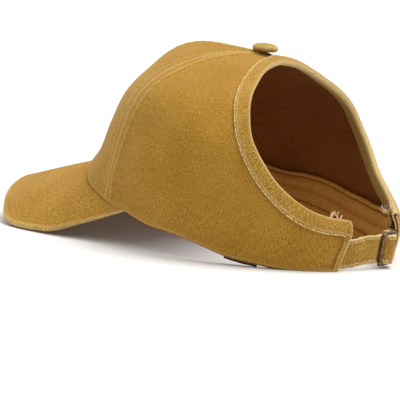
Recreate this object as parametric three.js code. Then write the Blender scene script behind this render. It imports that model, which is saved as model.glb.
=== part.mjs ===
// Ponytail baseball cap: a four-panel cotton crown with a large rear opening, a curved peak, a covered
// top button and a strap with a sliding buckle under the opening.
// Lengths are in millimetres. The front is along -Y, the wearer's left along +X, up along +Z, and the
// cap rests on z = 0 with its front raised, on the rear of its rim and the corners of its peak.
import * as THREE from 'three';
import { mergeVertices } from 'three/addons/utils/BufferGeometryUtils.js';

const { lerp, clamp, smoothstep, degToRad } = THREE.MathUtils;

// Cloth and clearances
const panelCloth = 1.5;
const hemCloth = 1.0;
const sweatCloth = 1.5;
const strapCloth = 1.2;
const tabCloth = 1.0;
const labelCloth = 0.8;
const seamGap = 0.3;
const hemGap = 0.45;

// Crown
const crownHalfWidth = 83.9;
const crownFrontReach = 105.6;
const crownRearReach = 100;
const crownHeight = 104.2;
const crownTopShift = -11.4;
const restingTilt = degToRad(9.5);

// Side seams, as a turn from the front centre at the rim
const seamTurnAtRim = degToRad(56);

// Rear opening and its hem
const endTurnAtRim = degToRad(153.6);
const endTurnAtCorner = degToRad(159.3);
const hemWidth = 11.5;
const hemToPost = 0.9;

// Top button
const buttonRadius = 8;
const buttonHeight = 4.6;
const buttonEdgeHeight = 1.5;
const postRadius = 1.6;
const postLength = 5;
const postHoleGap = 0.8;

// Peak
const peakLength = 60.5;
const peakTurn = degToRad(67.8);
const peakSlope = degToRad(15.8);
const peakRootHeight = 43;
const peakTipCurl = -2;
const peakSideDrop = 38;
const peakThickness = 3.2;
const peakEndThickness = 1.2;
const peakBend = 0.789;
const peakThinning = 0.25;
const peakRootRow = 0.6;

// Sweatband
const sweatHeight = 28;
const sweatDrop = 1.2;
const sweatEndTurn = degToRad(148);
const sweatRib = 0.5;

// Strap and the tab that holds the buckle
const strapWidth = 17.8;
const strapEndHeight = 9.8;
const strapMiddleHeight = 12.2;
const strapBulge = 1.5;
const bulgeStartTurn = degToRad(157);
const bulgeEndTurn = degToRad(172);
const strapRootTurn = degToRad(150.5);
const tabRootTurn = degToRad(152);

// Buckle
const buckleTurn = degToRad(181.6);
const wallFromBuckle = degToRad(6.5);
const buckleLength = 18;
const buckleBar = 2.5;
const buckleEndRail = 1.3;
const buckleThickness = 2.2;
const buckleCorner = 2.2;
const buckleEdge = 0.4;

// Care label
const labelTurn = degToRad(115);
const labelWidth = 19;
const labelDrop = 2.8;

// Crown sections from rim to button: height, and reach to the front, side and rear, as shares
const crownRows = [
  { up: 0.00, front: 1.000, side: 1.000, rear: 1.000 },
  { up: 0.20, front: 0.911, side: 1.045, rear: 0.998 },
  { up: 0.40, front: 0.846, side: 1.053, rear: 0.860 },
  { up: 0.60, front: 0.774, side: 1.013, rear: 0.770 },
  { up: 0.76, front: 0.665, side: 0.870, rear: 0.663 },
  { up: 0.88, front: 0.564, side: 0.590, rear: 0.474 },
  { up: 0.96, front: 0.365, side: 0.313, rear: 0.232 },
  { up: 1.00, front: 0.000, side: 0.000, rear: 0.000 },
];

// Turn of the side seams at each of those rows, as a share of their turn at the rim
const seamRows = [
  { turn: 1.000 }, { turn: 0.964 }, { turn: 0.962 }, { turn: 0.978 },
  { turn: 0.990 }, { turn: 1.072 }, { turn: 1.168 }, { turn: 1.210 },
];

// Soft folds of the front panels on the disc of rows: the turn and row of each one's middle, its
// spread towards the button and across, in rows, and its height in millimetres
const creaseRows = [
  { turn: 0, row: 5.0, spreadAlong: 1.3, spreadAcross: 0.38, height: 1.0 },
  { turn: 25, row: 5.2, spreadAlong: 0.9, spreadAcross: 0.34, height: -2.8 },
];

// Edge of the rear opening, from its lower corner to the middle of its top: climb as a share of the
// way from corner to top, and turn as a share of the way from the front centre to the rear centre
const openingRows = [
  { climb: 0.000, turn: 0.885 },
  { climb: 0.010, turn: 0.830 },
  { climb: 0.044, turn: 0.783 },
  { climb: 0.121, turn: 0.740 },
  { climb: 0.222, turn: 0.705 },
  { climb: 0.343, turn: 0.674 },
  { climb: 0.485, turn: 0.657 },
  { climb: 0.646, turn: 0.646 },
  { climb: 0.788, turn: 0.663 },
  { climb: 0.909, turn: 0.728 },
  { climb: 0.980, turn: 0.863 },
  { climb: 1.000, turn: 1.000 },
];
const openingCornerRow = 1.38;

// Height of the rim behind the peak, in even steps from the peak's end to the rear end, as shares of
// the height at the peak's end
const rimRows = [
  { lift: 1.000 }, { lift: 0.775 }, { lift: 0.665 }, { lift: 0.475 }, { lift: 0.240 },
  { lift: 0.120 }, { lift: 0.010 }, { lift: 0.000 }, { lift: 0.000 },
];

// Outline of the peak from its root to the middle of its front: reach as a share of the peak's
// length, half width as a share of the half width at the root
const peakRows = [
  { reach: 0.00, width: 1.000 },
  { reach: 0.25, width: 1.020 },
  { reach: 0.50, width: 1.035 },
  { reach: 0.75, width: 0.919 },
  { reach: 0.90, width: 0.612 },
  { reach: 0.98, width: 0.221 },
  { reach: 1.00, width: 0.000 },
];

// Sweatband from its lower to its upper edge: rise as a share of its height, stand-off from the
// panel as a share of the hem's room, and swell of the quilted ribs
const sweatRows = [
  { rise: 0.00, standOff: 0.0, swell: 0 },
  { rise: 0.15, standOff: 0.5, swell: 1 },
  { rise: 0.34, standOff: 1.0, swell: 0 },
  { rise: 0.50, standOff: 1.0, swell: 1 },
  { rise: 0.67, standOff: 1.0, swell: 0 },
  { rise: 0.84, standOff: 1.0, swell: 1 },
  { rise: 1.00, standOff: 1.0, swell: 0 },
];

// Height of the sweatband in even steps from the front centre to its end, as a share of its height
// there
const bandRows = [{ height: 0.76 }, { height: 0.76 }, { height: 0.80 }, { height: 1.00 }, { height: 1.00 }];

// Mesh counts
const frontColumns = 14;
const frontRows = 20;
const sideJointColumns = 3;
const sideRimColumns = 13;
const sideEndRows = 4;
const sideEdgeRows = 22;
const sideBackRows = 1;
const hemSteps = 2 * sideEdgeRows;
const foldSteps = 4;
const legSteps = 2;
const peakSteps = 8;
const sweatColumns = 34;
const labelColumns = 4;
const labelRows = 2;
const ribbonSteps = 3;
const buttonSides = 20;
const domeSteps = 5;
const loopSteps = 4;
const buckleCornerSteps = 2;
const curveDivisions = 1000;
const searchSteps = 26;
const lowestRow = -2;
const probe = 0.02;

const buttonRow = crownRows.length - 1;
const hemRoom = hemGap + hemCloth;
const hemFoldRadius = (panelCloth + 2 * hemRoom) / 2;
const postHoleRadius = postRadius + postHoleGap;
const buckleHeight = strapWidth + 2 * (seamGap + buckleEndRail);

// Value of one column at a fractional row: a Catmull-Rom curve that goes straight on before row 0
function readColumn(table, column, position) {
  const last = table.length - 1;
  const value = (row) => {
    if (row < 0) return 2 * table[0][column] - table[1][column];
    if (row > last) return 2 * table[last][column] - table[last - 1][column];
    return table[row][column];
  };
  const row = clamp(Math.floor(position), 0, last - 1);
  const t = clamp(position, 0, last) - row;
  const [a, b, c, d] = [value(row - 1), value(row), value(row + 1), value(row + 2)];
  const curve = 2 * b + (c - a) * t + (2 * a - 5 * b + 4 * c - d) * t ** 2 + (3 * b - a - 3 * c + d) * t ** 3;
  return curve / 2 + Math.min(position, 0) * (table[1][column] - table[0][column]);
}

// A spot on the crown is a place in a flat disc with the button at its middle
function spotAt(row, turn) {
  return new THREE.Vector2((buttonRow - row) * Math.sin(turn), -(buttonRow - row) * Math.cos(turn));
}

const rowOf = (spot) => buttonRow - spot.length();
const turnOf = (spot) => Math.atan2(spot.x, -spot.y);

function creaseHeight(row, turn) {
  return creaseRows.reduce((height, crease) => {
    const aside = Math.abs(turn) - degToRad(crease.turn);
    const across = (buttonRow - row) * Math.sin(aside) / crease.spreadAcross;
    const along = ((buttonRow - row) * Math.cos(aside) - buttonRow + crease.row) / crease.spreadAlong;
    return height + crease.height * Math.exp(-(across ** 2) - along ** 2);
  }, 0);
}

// Outer surface of the crown: elliptical sections whose front and rear halves differ, then the tilt
function crownSurface(spot) {
  const row = rowOf(spot);
  const turn = turnOf(spot);
  const up = readColumn(crownRows, 'up', row);
  const facingFront = Math.cos(turn) > 0;
  const reach = facingFront ? crownFrontReach : crownRearReach;
  const length = reach * readColumn(crownRows, facingFront ? 'front' : 'rear', row);
  const width = crownHalfWidth * readColumn(crownRows, 'side', row);
  const swell = creaseHeight(row, turn);
  const lean = up ** 2;
  return new THREE.Vector3(
    (width + swell * (1 - lean)) * Math.sin(turn),
    crownTopShift * up - (length + swell * (1 - lean)) * Math.cos(turn),
    crownHeight * up + swell * lean,
  ).applyAxisAngle(new THREE.Vector3(1, 0, 0), -restingTilt)
    .add(new THREE.Vector3(0, 0, crownRearReach * Math.sin(restingTilt)));
}

// Surface directions for one step to the left and one step to the rear on the disc
function crownSlopes(spot) {
  const [stepX, stepY] = [new THREE.Vector2(probe, 0), new THREE.Vector2(0, probe)];
  return [stepX, stepY].map((step) => {
    const ahead = crownSurface(spot.clone().add(step));
    return ahead.sub(crownSurface(spot.clone().sub(step))).divideScalar(2 * probe);
  });
}

function crownNormal(spot) {
  const [toLeft, toRear] = crownSlopes(spot);
  return toLeft.cross(toRear).normalize();
}

// Point at a depth inside the outer surface; a negative depth lies outside it
function crownPoint(spot, depth) {
  return crownSurface(spot).addScaledVector(crownNormal(spot), -depth);
}

// Spot at a turn where the surface at this depth first passes the given test, searched upwards
function findSpot(turn, depth, isPast) {
  let [low, high] = [lowestRow, buttonRow];
  for (let step = 0; step < searchSteps; step += 1) {
    const middle = (low + high) / 2;
    if (isPast(crownPoint(spotAt(middle, turn), depth))) high = middle;
    else low = middle;
  }
  return spotAt((low + high) / 2, turn);
}

// Top surface of the peak: sloping forward, curled up at the tip and bent down at the sides
const peakRootLine = crownSurface(spotAt(peakRootRow, 0)).y;
const peakRootHalfWidth = crownSurface(spotAt(0, peakTurn)).x;

function peakTop(x, y) {
  const forward = peakRootLine - y;
  const arc = (share) => 1 - Math.sqrt(1 - (peakBend * share) ** 2);
  const curl = peakTipCurl * (Math.max(forward, 0) / peakLength) ** 2;
  const drop = peakSideDrop * arc(x / peakRootHalfWidth) / arc(1);
  return Math.max(peakRootHeight - forward * Math.tan(peakSlope) + curl - drop, peakThickness);
}

// Upward normal of the peak, not yet of unit length: its length is how much longer a vertical cut
// through the plate is than its thickness
function peakNormal(x, y) {
  const slopeX = (peakTop(x + probe, y) - peakTop(x - probe, y)) / (2 * probe);
  const slopeY = (peakTop(x, y + probe) - peakTop(x, y - probe)) / (2 * probe);
  return new THREE.Vector3(-slopeX, -slopeY, 1);
}

const cornerSpot = spotAt(openingCornerRow, endTurnAtCorner);
const aboveJoint = (point) => {
  const lift = seamGap * peakNormal(point.x, point.y).length();
  return point.z > peakTop(point.x, point.y) + lift;
};
const rimLift = crownPoint(findSpot(peakTurn, 0, aboveJoint), 0).z;

// Height of the panels' lower edge: just above the peak in front, then down to the floor
function edgeHeight(turn, point) {
  if (Math.abs(turn) <= peakTurn) {
    return peakTop(point.x, point.y) + seamGap * peakNormal(point.x, point.y).length();
  }
  const along = (Math.abs(turn) - peakTurn) / (endTurnAtRim - peakTurn);
  return Math.max(rimLift * readColumn(rimRows, 'lift', along * (rimRows.length - 1)), 0);
}

const edgeSpot = (turn, depth) => findSpot(turn, depth, (point) => point.z > edgeHeight(turn, point));

const buttonPoint = crownSurface(new THREE.Vector2(0, 0));
const holeSpot = (turn) => findSpot(turn, 0, (point) => point.distanceTo(buttonPoint) < postHoleRadius);

// Row of the opening's top, behind the button by the hem's width
const openingTopRow = rowOf(findSpot(Math.PI, 0, (point) => (
  point.distanceTo(buttonPoint) < postRadius + hemToPost + hemWidth)));

// Closed solid between two grids of points, both given by (u, v) from 0 to 1; seen from the outer
// side, u runs to the right and v runs up
function slab(columns, rows, outer, inner) {
  const positions = [];
  const faces = [];
  const sheetSize = (columns + 1) * (rows + 1);
  [outer, inner].forEach((sheet) => {
    for (let row = 0; row <= rows; row += 1) {
      for (let column = 0; column <= columns; column += 1) {
        positions.push(...sheet(column / columns, row / rows).toArray());
      }
    }
  });
  const quad = (a, b, c, d) => faces.push(a, b, c, a, c, d);
  const index = (column, row) => row * (columns + 1) + column;
  for (let row = 0; row < rows; row += 1) {
    for (let column = 0; column < columns; column += 1) {
      const corners = [[0, 0], [1, 0], [1, 1], [0, 1]].map(([x, y]) => index(column + x, row + y));
      quad(...corners);
      quad(...corners.reverse().map((corner) => corner + sheetSize));
    }
  }
  const wall = (from, to) => quad(to, from, from + sheetSize, to + sheetSize);
  for (let column = 0; column < columns; column += 1) {
    wall(index(column, 0), index(column + 1, 0));
    wall(index(column + 1, rows), index(column, rows));
  }
  for (let row = 0; row < rows; row += 1) {
    wall(index(columns, row), index(columns, row + 1));
    wall(index(0, row + 1), index(0, row));
  }
  const geometry = new THREE.BufferGeometry();
  geometry.setAttribute('position', new THREE.Float32BufferAttribute(positions, 3));
  geometry.setIndex(faces);
  return geometry;
}

// Mirror image of a solid in the plane x = 0, with its faces turned round to point out again
function mirrored(geometry) {
  const copy = geometry.clone().scale(-1, 1, 1);
  const faces = copy.getIndex();
  for (let face = 0; face < faces.count; face += 3) {
    const second = faces.getX(face + 1);
    faces.setX(face + 1, faces.getX(face + 2));
    faces.setX(face + 2, second);
  }
  return copy;
}

// Turn that moves a seam's edge sideways by half the gap
function halfGapTurn(spot) {
  const besides = spot.clone().rotateAround(new THREE.Vector2(), probe);
  return (seamGap / 2) * probe / crownSurface(besides).distanceTo(crownSurface(spot));
}

function seamSpot(row, side) {
  const spot = spotAt(row, seamTurnAtRim * readColumn(seamRows, 'turn', row));
  return spot.rotateAround(new THREE.Vector2(), side * halfGapTurn(spot));
}

function frontPanel() {
  const bottomRow = rowOf(edgeSpot(seamTurnAtRim, 0));
  const topRow = rowOf(holeSpot(seamTurnAtRim));
  const at = (u, v, depth) => {
    const row = lerp(bottomRow, topRow, v);
    const centre = spotAt(row, 0);
    const turn = lerp(halfGapTurn(centre), turnOf(seamSpot(row, -1)), u);
    const [low, high] = [rowOf(edgeSpot(turn, depth)), rowOf(holeSpot(turn))];
    return crownPoint(spotAt(lerp(low, high, v), turn), depth);
  };
  return slab(frontColumns, frontRows, (u, v) => at(u, v, 0), (u, v) => at(u, v, panelCloth));
}

// Edge of the rear opening from the left corner over the top to the right corner
const openingHalf = openingRows.map(({ climb, turn }) => (
  spotAt(lerp(openingCornerRow, openingTopRow, climb), turn * Math.PI)));
const openingCurve = new THREE.SplineCurve([
  ...openingHalf,
  ...openingHalf.slice(0, -1).reverse().map((spot) => new THREE.Vector2(-spot.x, spot.y)),
]);
openingCurve.arcLengthDivisions = curveDivisions;

// Disc step that follows a direction on the surface: least squares on the two slopes
function discStep(spot, direction) {
  const [toLeft, toRear] = crownSlopes(spot);
  const [ll, lr, rr] = [toLeft.dot(toLeft), toLeft.dot(toRear), toRear.dot(toRear)];
  const [dl, dr] = [toLeft.dot(direction), toRear.dot(direction)];
  return new THREE.Vector2(dl * rr - dr * lr, dr * ll - dl * lr).divideScalar(ll * rr - lr * lr);
}

// Disc step for one millimetre from the opening's edge into the cloth; it swings to the end's own
// edge close to each corner
function hemStep(share) {
  const spot = openingCurve.getPointAt(share);
  const tangent = openingCurve.getTangentAt(share);
  const [toLeft, toRear] = crownSlopes(spot);
  const along = toLeft.multiplyScalar(tangent.x).addScaledVector(toRear, tangent.y).normalize();
  const square = discStep(spot, crownNormal(spot).cross(along));
  const side = share < 0.5 ? 1 : -1;
  const corner = spotAt(openingCornerRow, side * endTurnAtCorner);
  const foot = edgeSpot(side * endTurnAtRim, 0);
  const endLength = crownSurface(corner).distanceTo(crownSurface(foot));
  const endStep = foot.sub(corner).divideScalar(endLength);
  const fromCorner = Math.min(share, 1 - share) * openingCurveLength;
  return square.lerp(endStep, 1 - smoothstep(fromCorner, 0, hemWidth));
}

const openingCurveLength = openingCurve.getSpacedPoints(hemSteps).reduce((length, spot, step, all) => (
  step ? length + crownSurface(spot).distanceTo(crownSurface(all[step - 1])) : 0), 0);

const hemSpot = (share, inward) => (
  openingCurve.getPointAt(share).addScaledVector(hemStep(share), inward));

// Turns of the mesh columns along the left half of the peak's root, which the panels' edges share
const evenSteps = (from, to, steps) => (
  [...Array(steps + 1).keys()].map((step) => lerp(from, to, step / steps)));
const frontTurns = evenSteps(0, seamTurnAtRim, frontColumns);
const sideTurns = [
  ...evenSteps(seamTurnAtRim, peakTurn, sideJointColumns),
  ...evenSteps(peakTurn, endTurnAtRim, sideRimColumns).slice(1),
];

// Rear outline of the left side panel from rim to button: its end, the opening's edge inside the
// hem's fold, then the rear seam under the button
function sideRearSpots() {
  const foot = edgeSpot(endTurnAtRim, 0);
  const corner = hemSpot(0, hemFoldRadius);
  const end = evenSteps(0, 1, sideEndRows).map((share) => foot.clone().lerp(corner, share));
  const edge = evenSteps(0, 0.5, sideEdgeRows).map((share) => hemSpot(share, hemFoldRadius));
  const top = rowOf(edge[sideEdgeRows]);
  const seam = evenSteps(top, rowOf(holeSpot(Math.PI)), sideBackRows).map((row) => spotAt(row, Math.PI));
  return [...end, ...edge.slice(1), ...seam.slice(1)];
}

function sidePanel() {
  const rear = sideRearSpots();
  const rows = rear.length - 1;
  const columns = sideTurns.length - 1;
  const bottomRow = rowOf(edgeSpot(seamTurnAtRim, 0));
  const topRow = rowOf(holeSpot(seamTurnAtRim));
  const shares = sideTurns.map((turn) => (turn - seamTurnAtRim) / (endTurnAtRim - seamTurnAtRim));
  const at = (u, v, depth) => {
    const share = shares[Math.round(u * columns)];
    const front = seamSpot(lerp(bottomRow, topRow, v), 1);
    const back = rear[Math.round(v * rows)];
    const backTurn = Math.min(Math.atan2(Math.abs(back.x), -back.y), Math.PI - halfGapTurn(back));
    const footTurn = sideTurns[Math.round(u * columns)] + (u ? 0 : halfGapTurn(front));
    const footRow = rowOf(edgeSpot(footTurn, depth));
    const bend = footRow - lerp(bottomRow, rowOf(rear[0]), share);
    const turn = v ? lerp(turnOf(front), backTurn, share) : footTurn;
    const row = lerp(rowOf(front), rowOf(back), share) + bend * (1 - v) ** 3;
    return crownPoint(spotAt(row, turn), depth);
  };
  return slab(columns, rows, (u, v) => at(u, v, 0), (u, v) => at(u, v, panelCloth));
}

// Hem folded over the opening's edge, a channel that runs from one rear corner over the top to the
// other
function openingHem() {
  const columns = foldSteps + 2 * legSteps;
  const at = (u, v, radius) => {
    const fold = (Math.round(u * columns) - legSteps) / foldSteps;
    const angle = clamp(fold, 0, 1) * Math.PI;
    const leg = Math.max(-fold, fold - 1, 0) * foldSteps / legSteps;
    const inward = hemFoldRadius - radius * Math.sin(angle);
    return crownPoint(hemSpot(v, lerp(inward, hemWidth, leg)), panelCloth / 2 - radius * Math.cos(angle));
  };
  const innerRadius = hemFoldRadius - hemCloth;
  return slab(columns, hemSteps, (u, v) => at(u, v, hemFoldRadius), (u, v) => at(u, v, innerRadius));
}

// Cloth-covered button with its post through the hole where the panels meet
function topButton() {
  const seat = hemRoom + seamGap;
  const rim = seat + buttonEdgeHeight;
  const dome = evenSteps(0, Math.PI / 2, domeSteps).map((angle) => new THREE.Vector2(
    buttonRadius * Math.cos(angle),
    rim + (buttonHeight - buttonEdgeHeight) * Math.sin(angle),
  ));
  dome[dome.length - 1].x = 0;
  const profile = [
    new THREE.Vector2(0, seat - postLength),
    new THREE.Vector2(postRadius, seat - postLength),
    new THREE.Vector2(postRadius, seat),
    new THREE.Vector2(buttonRadius - buttonEdgeHeight, seat),
    ...dome,
  ];
  return new THREE.LatheGeometry(profile, buttonSides).rotateX(Math.PI / 2);
}

// Peak: a curved plate whose root lies under the panels' edge
function peakPlate() {
  const turns = [...frontTurns, ...sideTurns.slice(1, sideJointColumns + 1)];
  const columns = [...turns.slice(1).reverse().map((turn) => -turn), ...turns];
  const jointEnd = crownPoint(edgeSpot(peakTurn, 0), 0);
  const outline = (turn) => {
    const position = (1 - Math.abs(turn) / peakTurn) * (peakRows.length - 1);
    const width = jointEnd.x * readColumn(peakRows, 'width', position);
    const reach = readColumn(peakRows, 'reach', position);
    return new THREE.Vector2(Math.sign(turn) * width, lerp(jointEnd.y, peakRootLine - peakLength, reach));
  };
  const plateAt = (turn) => (
    lerp(peakEndThickness, peakThickness, smoothstep(1 - Math.abs(turn) / peakTurn, 0, peakThinning)));
  const top = (u, v) => {
    const turn = columns[Math.round(u * (columns.length - 1))];
    const root = crownPoint(findSpot(turn, panelCloth, ({ x, y, z }) => z > peakTop(x, y)), panelCloth);
    const { x, y } = outline(turn).lerp(new THREE.Vector2(root.x, root.y), v);
    return new THREE.Vector3(x, y, peakTop(x, y));
  };
  const bottomHeight = (x, y, plate) => Math.max(peakTop(x, y) - plate * peakNormal(x, y).length(), 0);
  const bottom = (u, v) => {
    const turn = columns[Math.round(u * (columns.length - 1))];
    const plate = plateAt(turn);
    const isPast = ({ x, y, z }) => z > bottomHeight(x, y, plate);
    const root = crownPoint(findSpot(turn, panelCloth, isPast), panelCloth);
    const edge = outline(turn);
    const normal = peakNormal(edge.x, edge.y).normalize().multiplyScalar(plate);
    const { x, y } = edge.sub(normal).lerp(new THREE.Vector2(root.x, root.y), v);
    return new THREE.Vector3(x, y, bottomHeight(x, y, plate));
  };
  return slab(columns.length - 1, peakSteps, top, bottom);
}

// Lower edge of the sweatband, just below the panels' edge but not below the floor
const sweatBottom = (turn, drop) => Math.max(crownPoint(edgeSpot(turn, 0), 0).z - drop, 0);

function sweatLevel(turn, row) {
  const height = readColumn(bandRows, 'height', Math.abs(turn) / sweatEndTurn * (bandRows.length - 1));
  return sweatBottom(turn, sweatDrop) + row.rise * height * sweatHeight;
}

const sweatDepth = ({ standOff }) => panelCloth + seamGap + standOff * (hemRoom + seamGap);
const sweatInside = (row) => sweatDepth(row) + sweatCloth + row.swell * sweatRib;

function wallPoint(turn, height, depth) {
  return crownPoint(findSpot(turn, depth, (point) => point.z > height), depth);
}

function sweatband() {
  const at = (u, v, depthOf) => {
    const turn = lerp(-sweatEndTurn, sweatEndTurn, u);
    const row = sweatRows[Math.round(v * (sweatRows.length - 1))];
    return wallPoint(turn, sweatLevel(turn, row), depthOf(row));
  };
  const steps = sweatRows.length - 1;
  return slab(sweatColumns, steps, (u, v) => at(u, v, sweatDepth), (u, v) => at(u, v, sweatInside));
}

// Plain label on the inside of the sweatband, hanging a little below the rim; its rows are the band's

function careLabel() {
  const middle = crownSurface(edgeSpot(labelTurn, 0));
  const halfTurn = labelWidth / 2 / Math.hypot(middle.x, middle.y);
  const at = (u, v, cloth) => {
    const turn = lerp(labelTurn - halfTurn, labelTurn + halfTurn, u);
    const row = sweatRows[Math.round(v * labelRows)];
    const height = v ? sweatLevel(turn, row) : sweatBottom(turn, labelDrop);
    return wallPoint(turn, height, sweatInside(row) + seamGap + cloth);
  };
  return slab(labelColumns, labelRows, (u, v) => at(u, v, 0), (u, v) => at(u, v, labelCloth));
}

// The strap lies inside the hem's inner leg, and the buckle is set out from it. The buckle's own
// axes: along the strap, up, and out of the cap.
const strapDepth = panelCloth + hemRoom + 2 * seamGap + strapCloth / 2;
const barPitch = (buckleLength - buckleBar) / 2;
const barCorner = Math.hypot(buckleBar, buckleThickness) / 2;
const strapUnder = -(buckleThickness / 2 + 2 * seamGap + strapCloth / 2);
const tabOver = barCorner + seamGap + tabCloth / 2;
const strapOver = tabOver + tabCloth / 2 + seamGap + strapCloth / 2;
const tabUnder = strapUnder - strapCloth / 2 - 2 * seamGap - tabCloth / 2;
const tabBehind = tabUnder - tabCloth - seamGap;

// In the middle of the back the strap and the tab stand out from the crown's own curve and rise a little
function backShare(turn) {
  return 1 - smoothstep(Math.abs(turn - Math.PI), Math.PI - bulgeEndTurn, Math.PI - bulgeStartTurn);
}

const buckleDepth = strapDepth + strapUnder - strapBulge * backShare(buckleTurn);

function buckleMatrix() {
  const spot = findSpot(buckleTurn, buckleDepth, (point) => point.z > strapMiddleHeight);
  const outward = crownNormal(spot);
  const along = new THREE.Vector3(0, 0, 1).cross(outward).normalize();
  return new THREE.Matrix4()
    .makeBasis(along, outward.clone().cross(along), outward)
    .setPosition(crownPoint(spot, buckleDepth));
}

const buckleFrame = buckleMatrix();

// Two points across the strap's width, along the wall or in the buckle
function wallPair(turn, depth) {
  const share = backShare(turn);
  const centre = lerp(strapEndHeight, strapMiddleHeight, share);
  return [-1, 1].map((side) => wallPoint(turn, centre + side * strapWidth / 2, depth - strapBulge * share));
}

function bucklePair(along, out) {
  return [-1, 1].map((side) => (
    new THREE.Vector3(along, side * strapWidth / 2, out).applyMatrix4(buckleFrame)));
}

// Band of cloth along pairs of points
function ribbon(pairs, cloth) {
  const [bottom, top] = [0, 1].map((side) => (
    new THREE.CatmullRomCurve3(pairs.map((pair) => pair[side]), false, 'centripetal')));
  const at = (u, v, out) => {
    const [low, high] = [bottom.getPoint(u), top.getPoint(u)];
    const tangent = bottom.getTangent(u).add(top.getTangent(u));
    const normal = tangent.cross(high.clone().sub(low)).normalize();
    return low.lerp(high, v).addScaledVector(normal, out);
  };
  const steps = ribbonSteps * (pairs.length - 1);
  return slab(steps, 1, (u, v) => at(u, v, cloth / 2), (u, v) => at(u, v, -cloth / 2));
}

// Way of the strap through the buckle: along as a share of the bars' pitch, over from 0 under the
// outer bars to 1 over the middle bar
const weaveRows = [
  { along: -1.70, over: 0.00 },
  { along: -1.25, over: 0.00 },
  { along: -0.82, over: 0.00 },
  { along: -0.46, over: 0.67 },
  { along: 0.00, over: 1.00 },
  { along: 0.46, over: 0.67 },
  { along: 0.82, over: 0.00 },
];

// Turns where a band that ends inside the far end of the crown follows its wall
const nearPairs = 3;
const farPairs = 5;
const farTurns = (rootTurn) => evenSteps(buckleTurn + wallFromBuckle, 2 * Math.PI - rootTurn, farPairs);

function strapBand() {
  const near = evenSteps(strapRootTurn, buckleTurn - 2 * wallFromBuckle, nearPairs);
  const weave = weaveRows.map(({ along, over }) => (
    bucklePair(along * barPitch, lerp(strapUnder, strapOver, over))));
  return ribbon([
    ...near.map((turn) => wallPair(turn, strapDepth)),
    ...weave,
    ...farTurns(strapRootTurn).map((turn) => wallPair(turn, strapDepth)),
  ], strapCloth);
}

// Way of the tab's outer layer from the middle bar to the far bar, in the same way
const tabRows = [
  { along: 0.00, over: 1.00 },
  { along: 0.24, over: 0.87 },
  { along: 0.36, over: 0.62 },
  { along: 0.54, over: 0.25 },
  { along: 0.80, over: 0.02 },
];

// Doubled tab that holds the buckle: round the middle bar, then inside the far end of the crown
function buckleTab() {
  const wall = (depth) => farTurns(tabRootTurn).map((turn) => wallPair(turn, depth));
  const outer = tabRows.map(({ along, over }) => bucklePair(along * barPitch, lerp(tabUnder, tabOver, over)));
  const round = evenSteps(0, Math.PI, loopSteps).slice(1).map((angle) => (
    bucklePair(-tabOver * Math.sin(angle), tabOver * Math.cos(angle))));
  const inner = [0.5, 1].map((along) => bucklePair(along * barPitch, lerp(-tabOver, tabBehind, along)));
  return ribbon([
    ...wall(strapDepth + strapUnder - tabUnder).reverse(),
    ...outer.reverse(),
    ...round,
    ...inner,
    ...wall(strapDepth + strapUnder - tabBehind),
  ], tabCloth);
}

function roundedRectangle(path, left, right, bottom, top, radius) {
  path.moveTo(left + radius, bottom);
  path.lineTo(right - radius, bottom);
  path.absarc(right - radius, bottom + radius, radius, -Math.PI / 2, 0);
  path.lineTo(right, top - radius);
  path.absarc(right - radius, top - radius, radius, 0, Math.PI / 2);
  path.lineTo(left + radius, top);
  path.absarc(left + radius, top - radius, radius, Math.PI / 2, Math.PI);
  path.lineTo(left, bottom + radius);
  path.absarc(left + radius, bottom + radius, radius, Math.PI, 3 * Math.PI / 2);
  return path;
}

// Slider buckle: a frame with a middle bar; the bevelled edges keep the sizes of the frame
function sliderBuckle() {
  const [halfLength, halfHeight] = [buckleLength / 2 - buckleEdge, buckleHeight / 2 - buckleEdge];
  const frame = roundedRectangle(
    new THREE.Shape(), -halfLength, halfLength, -halfHeight, halfHeight, buckleCorner,
  );
  const halfSlot = buckleHeight / 2 - buckleEndRail + buckleEdge;
  const slot = (from, to) => roundedRectangle(
    new THREE.Path(), from, to, -halfSlot, halfSlot, buckleCorner / 2,
  );
  const bar = buckleBar / 2 - buckleEdge;
  frame.holes = [slot(bar - barPitch, -bar), slot(bar, barPitch - bar)];
  return new THREE.ExtrudeGeometry(frame, {
    depth: buckleThickness - 2 * buckleEdge,
    bevelThickness: buckleEdge,
    bevelSize: buckleEdge,
    bevelSegments: 1,
    curveSegments: buckleCornerSteps,
  }).translate(0, 0, buckleEdge - buckleThickness / 2);
}

const twill = { color: 0xb1843a, roughness: 0.95, metalness: 0 };
const hemTwill = { color: 0xba8f48, roughness: 0.95, metalness: 0 };
const sweatCotton = { color: 0x9a6524, roughness: 0.9, metalness: 0 };
const darkBrass = { color: 0x4a3526, roughness: 0.45, metalness: 0.8 };
const labelBlack = { color: 0x141212, roughness: 0.8, metalness: 0 };

const cap = new THREE.Group();

function addPiece(name, geometry, finish) {
  const piece = new THREE.Mesh(geometry, new THREE.MeshStandardMaterial(finish));
  piece.name = name;
  cap.add(piece);
  return piece;
}

const front = frontPanel();
const side = sidePanel();
addPiece('front_panel_left', front, twill);
addPiece('front_panel_right', mirrored(front), twill);
addPiece('side_panel_left', side, twill);
addPiece('side_panel_right', mirrored(side), twill);
addPiece('opening_hem', openingHem(), hemTwill);
addPiece('peak', peakPlate(), twill);
addPiece('sweatband', sweatband(), sweatCotton);
addPiece('strap', strapBand(), hemTwill);
addPiece('buckle_tab', buckleTab(), twill);
addPiece('care_label', careLabel(), labelBlack);

const button = addPiece('top_button', topButton(), hemTwill);
button.position.copy(buttonPoint);
button.rotation.x = -restingTilt;

const buckle = addPiece('buckle', sliderBuckle(), darkBrass);
buckle.applyMatrix4(buckleFrame);

cap.traverse((piece) => {
  if (!piece.isMesh) return;
  piece.geometry.deleteAttribute('normal');
  piece.geometry.deleteAttribute('uv');
  piece.geometry = mergeVertices(piece.geometry);
  piece.geometry.computeVertexNormals();
});

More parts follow.
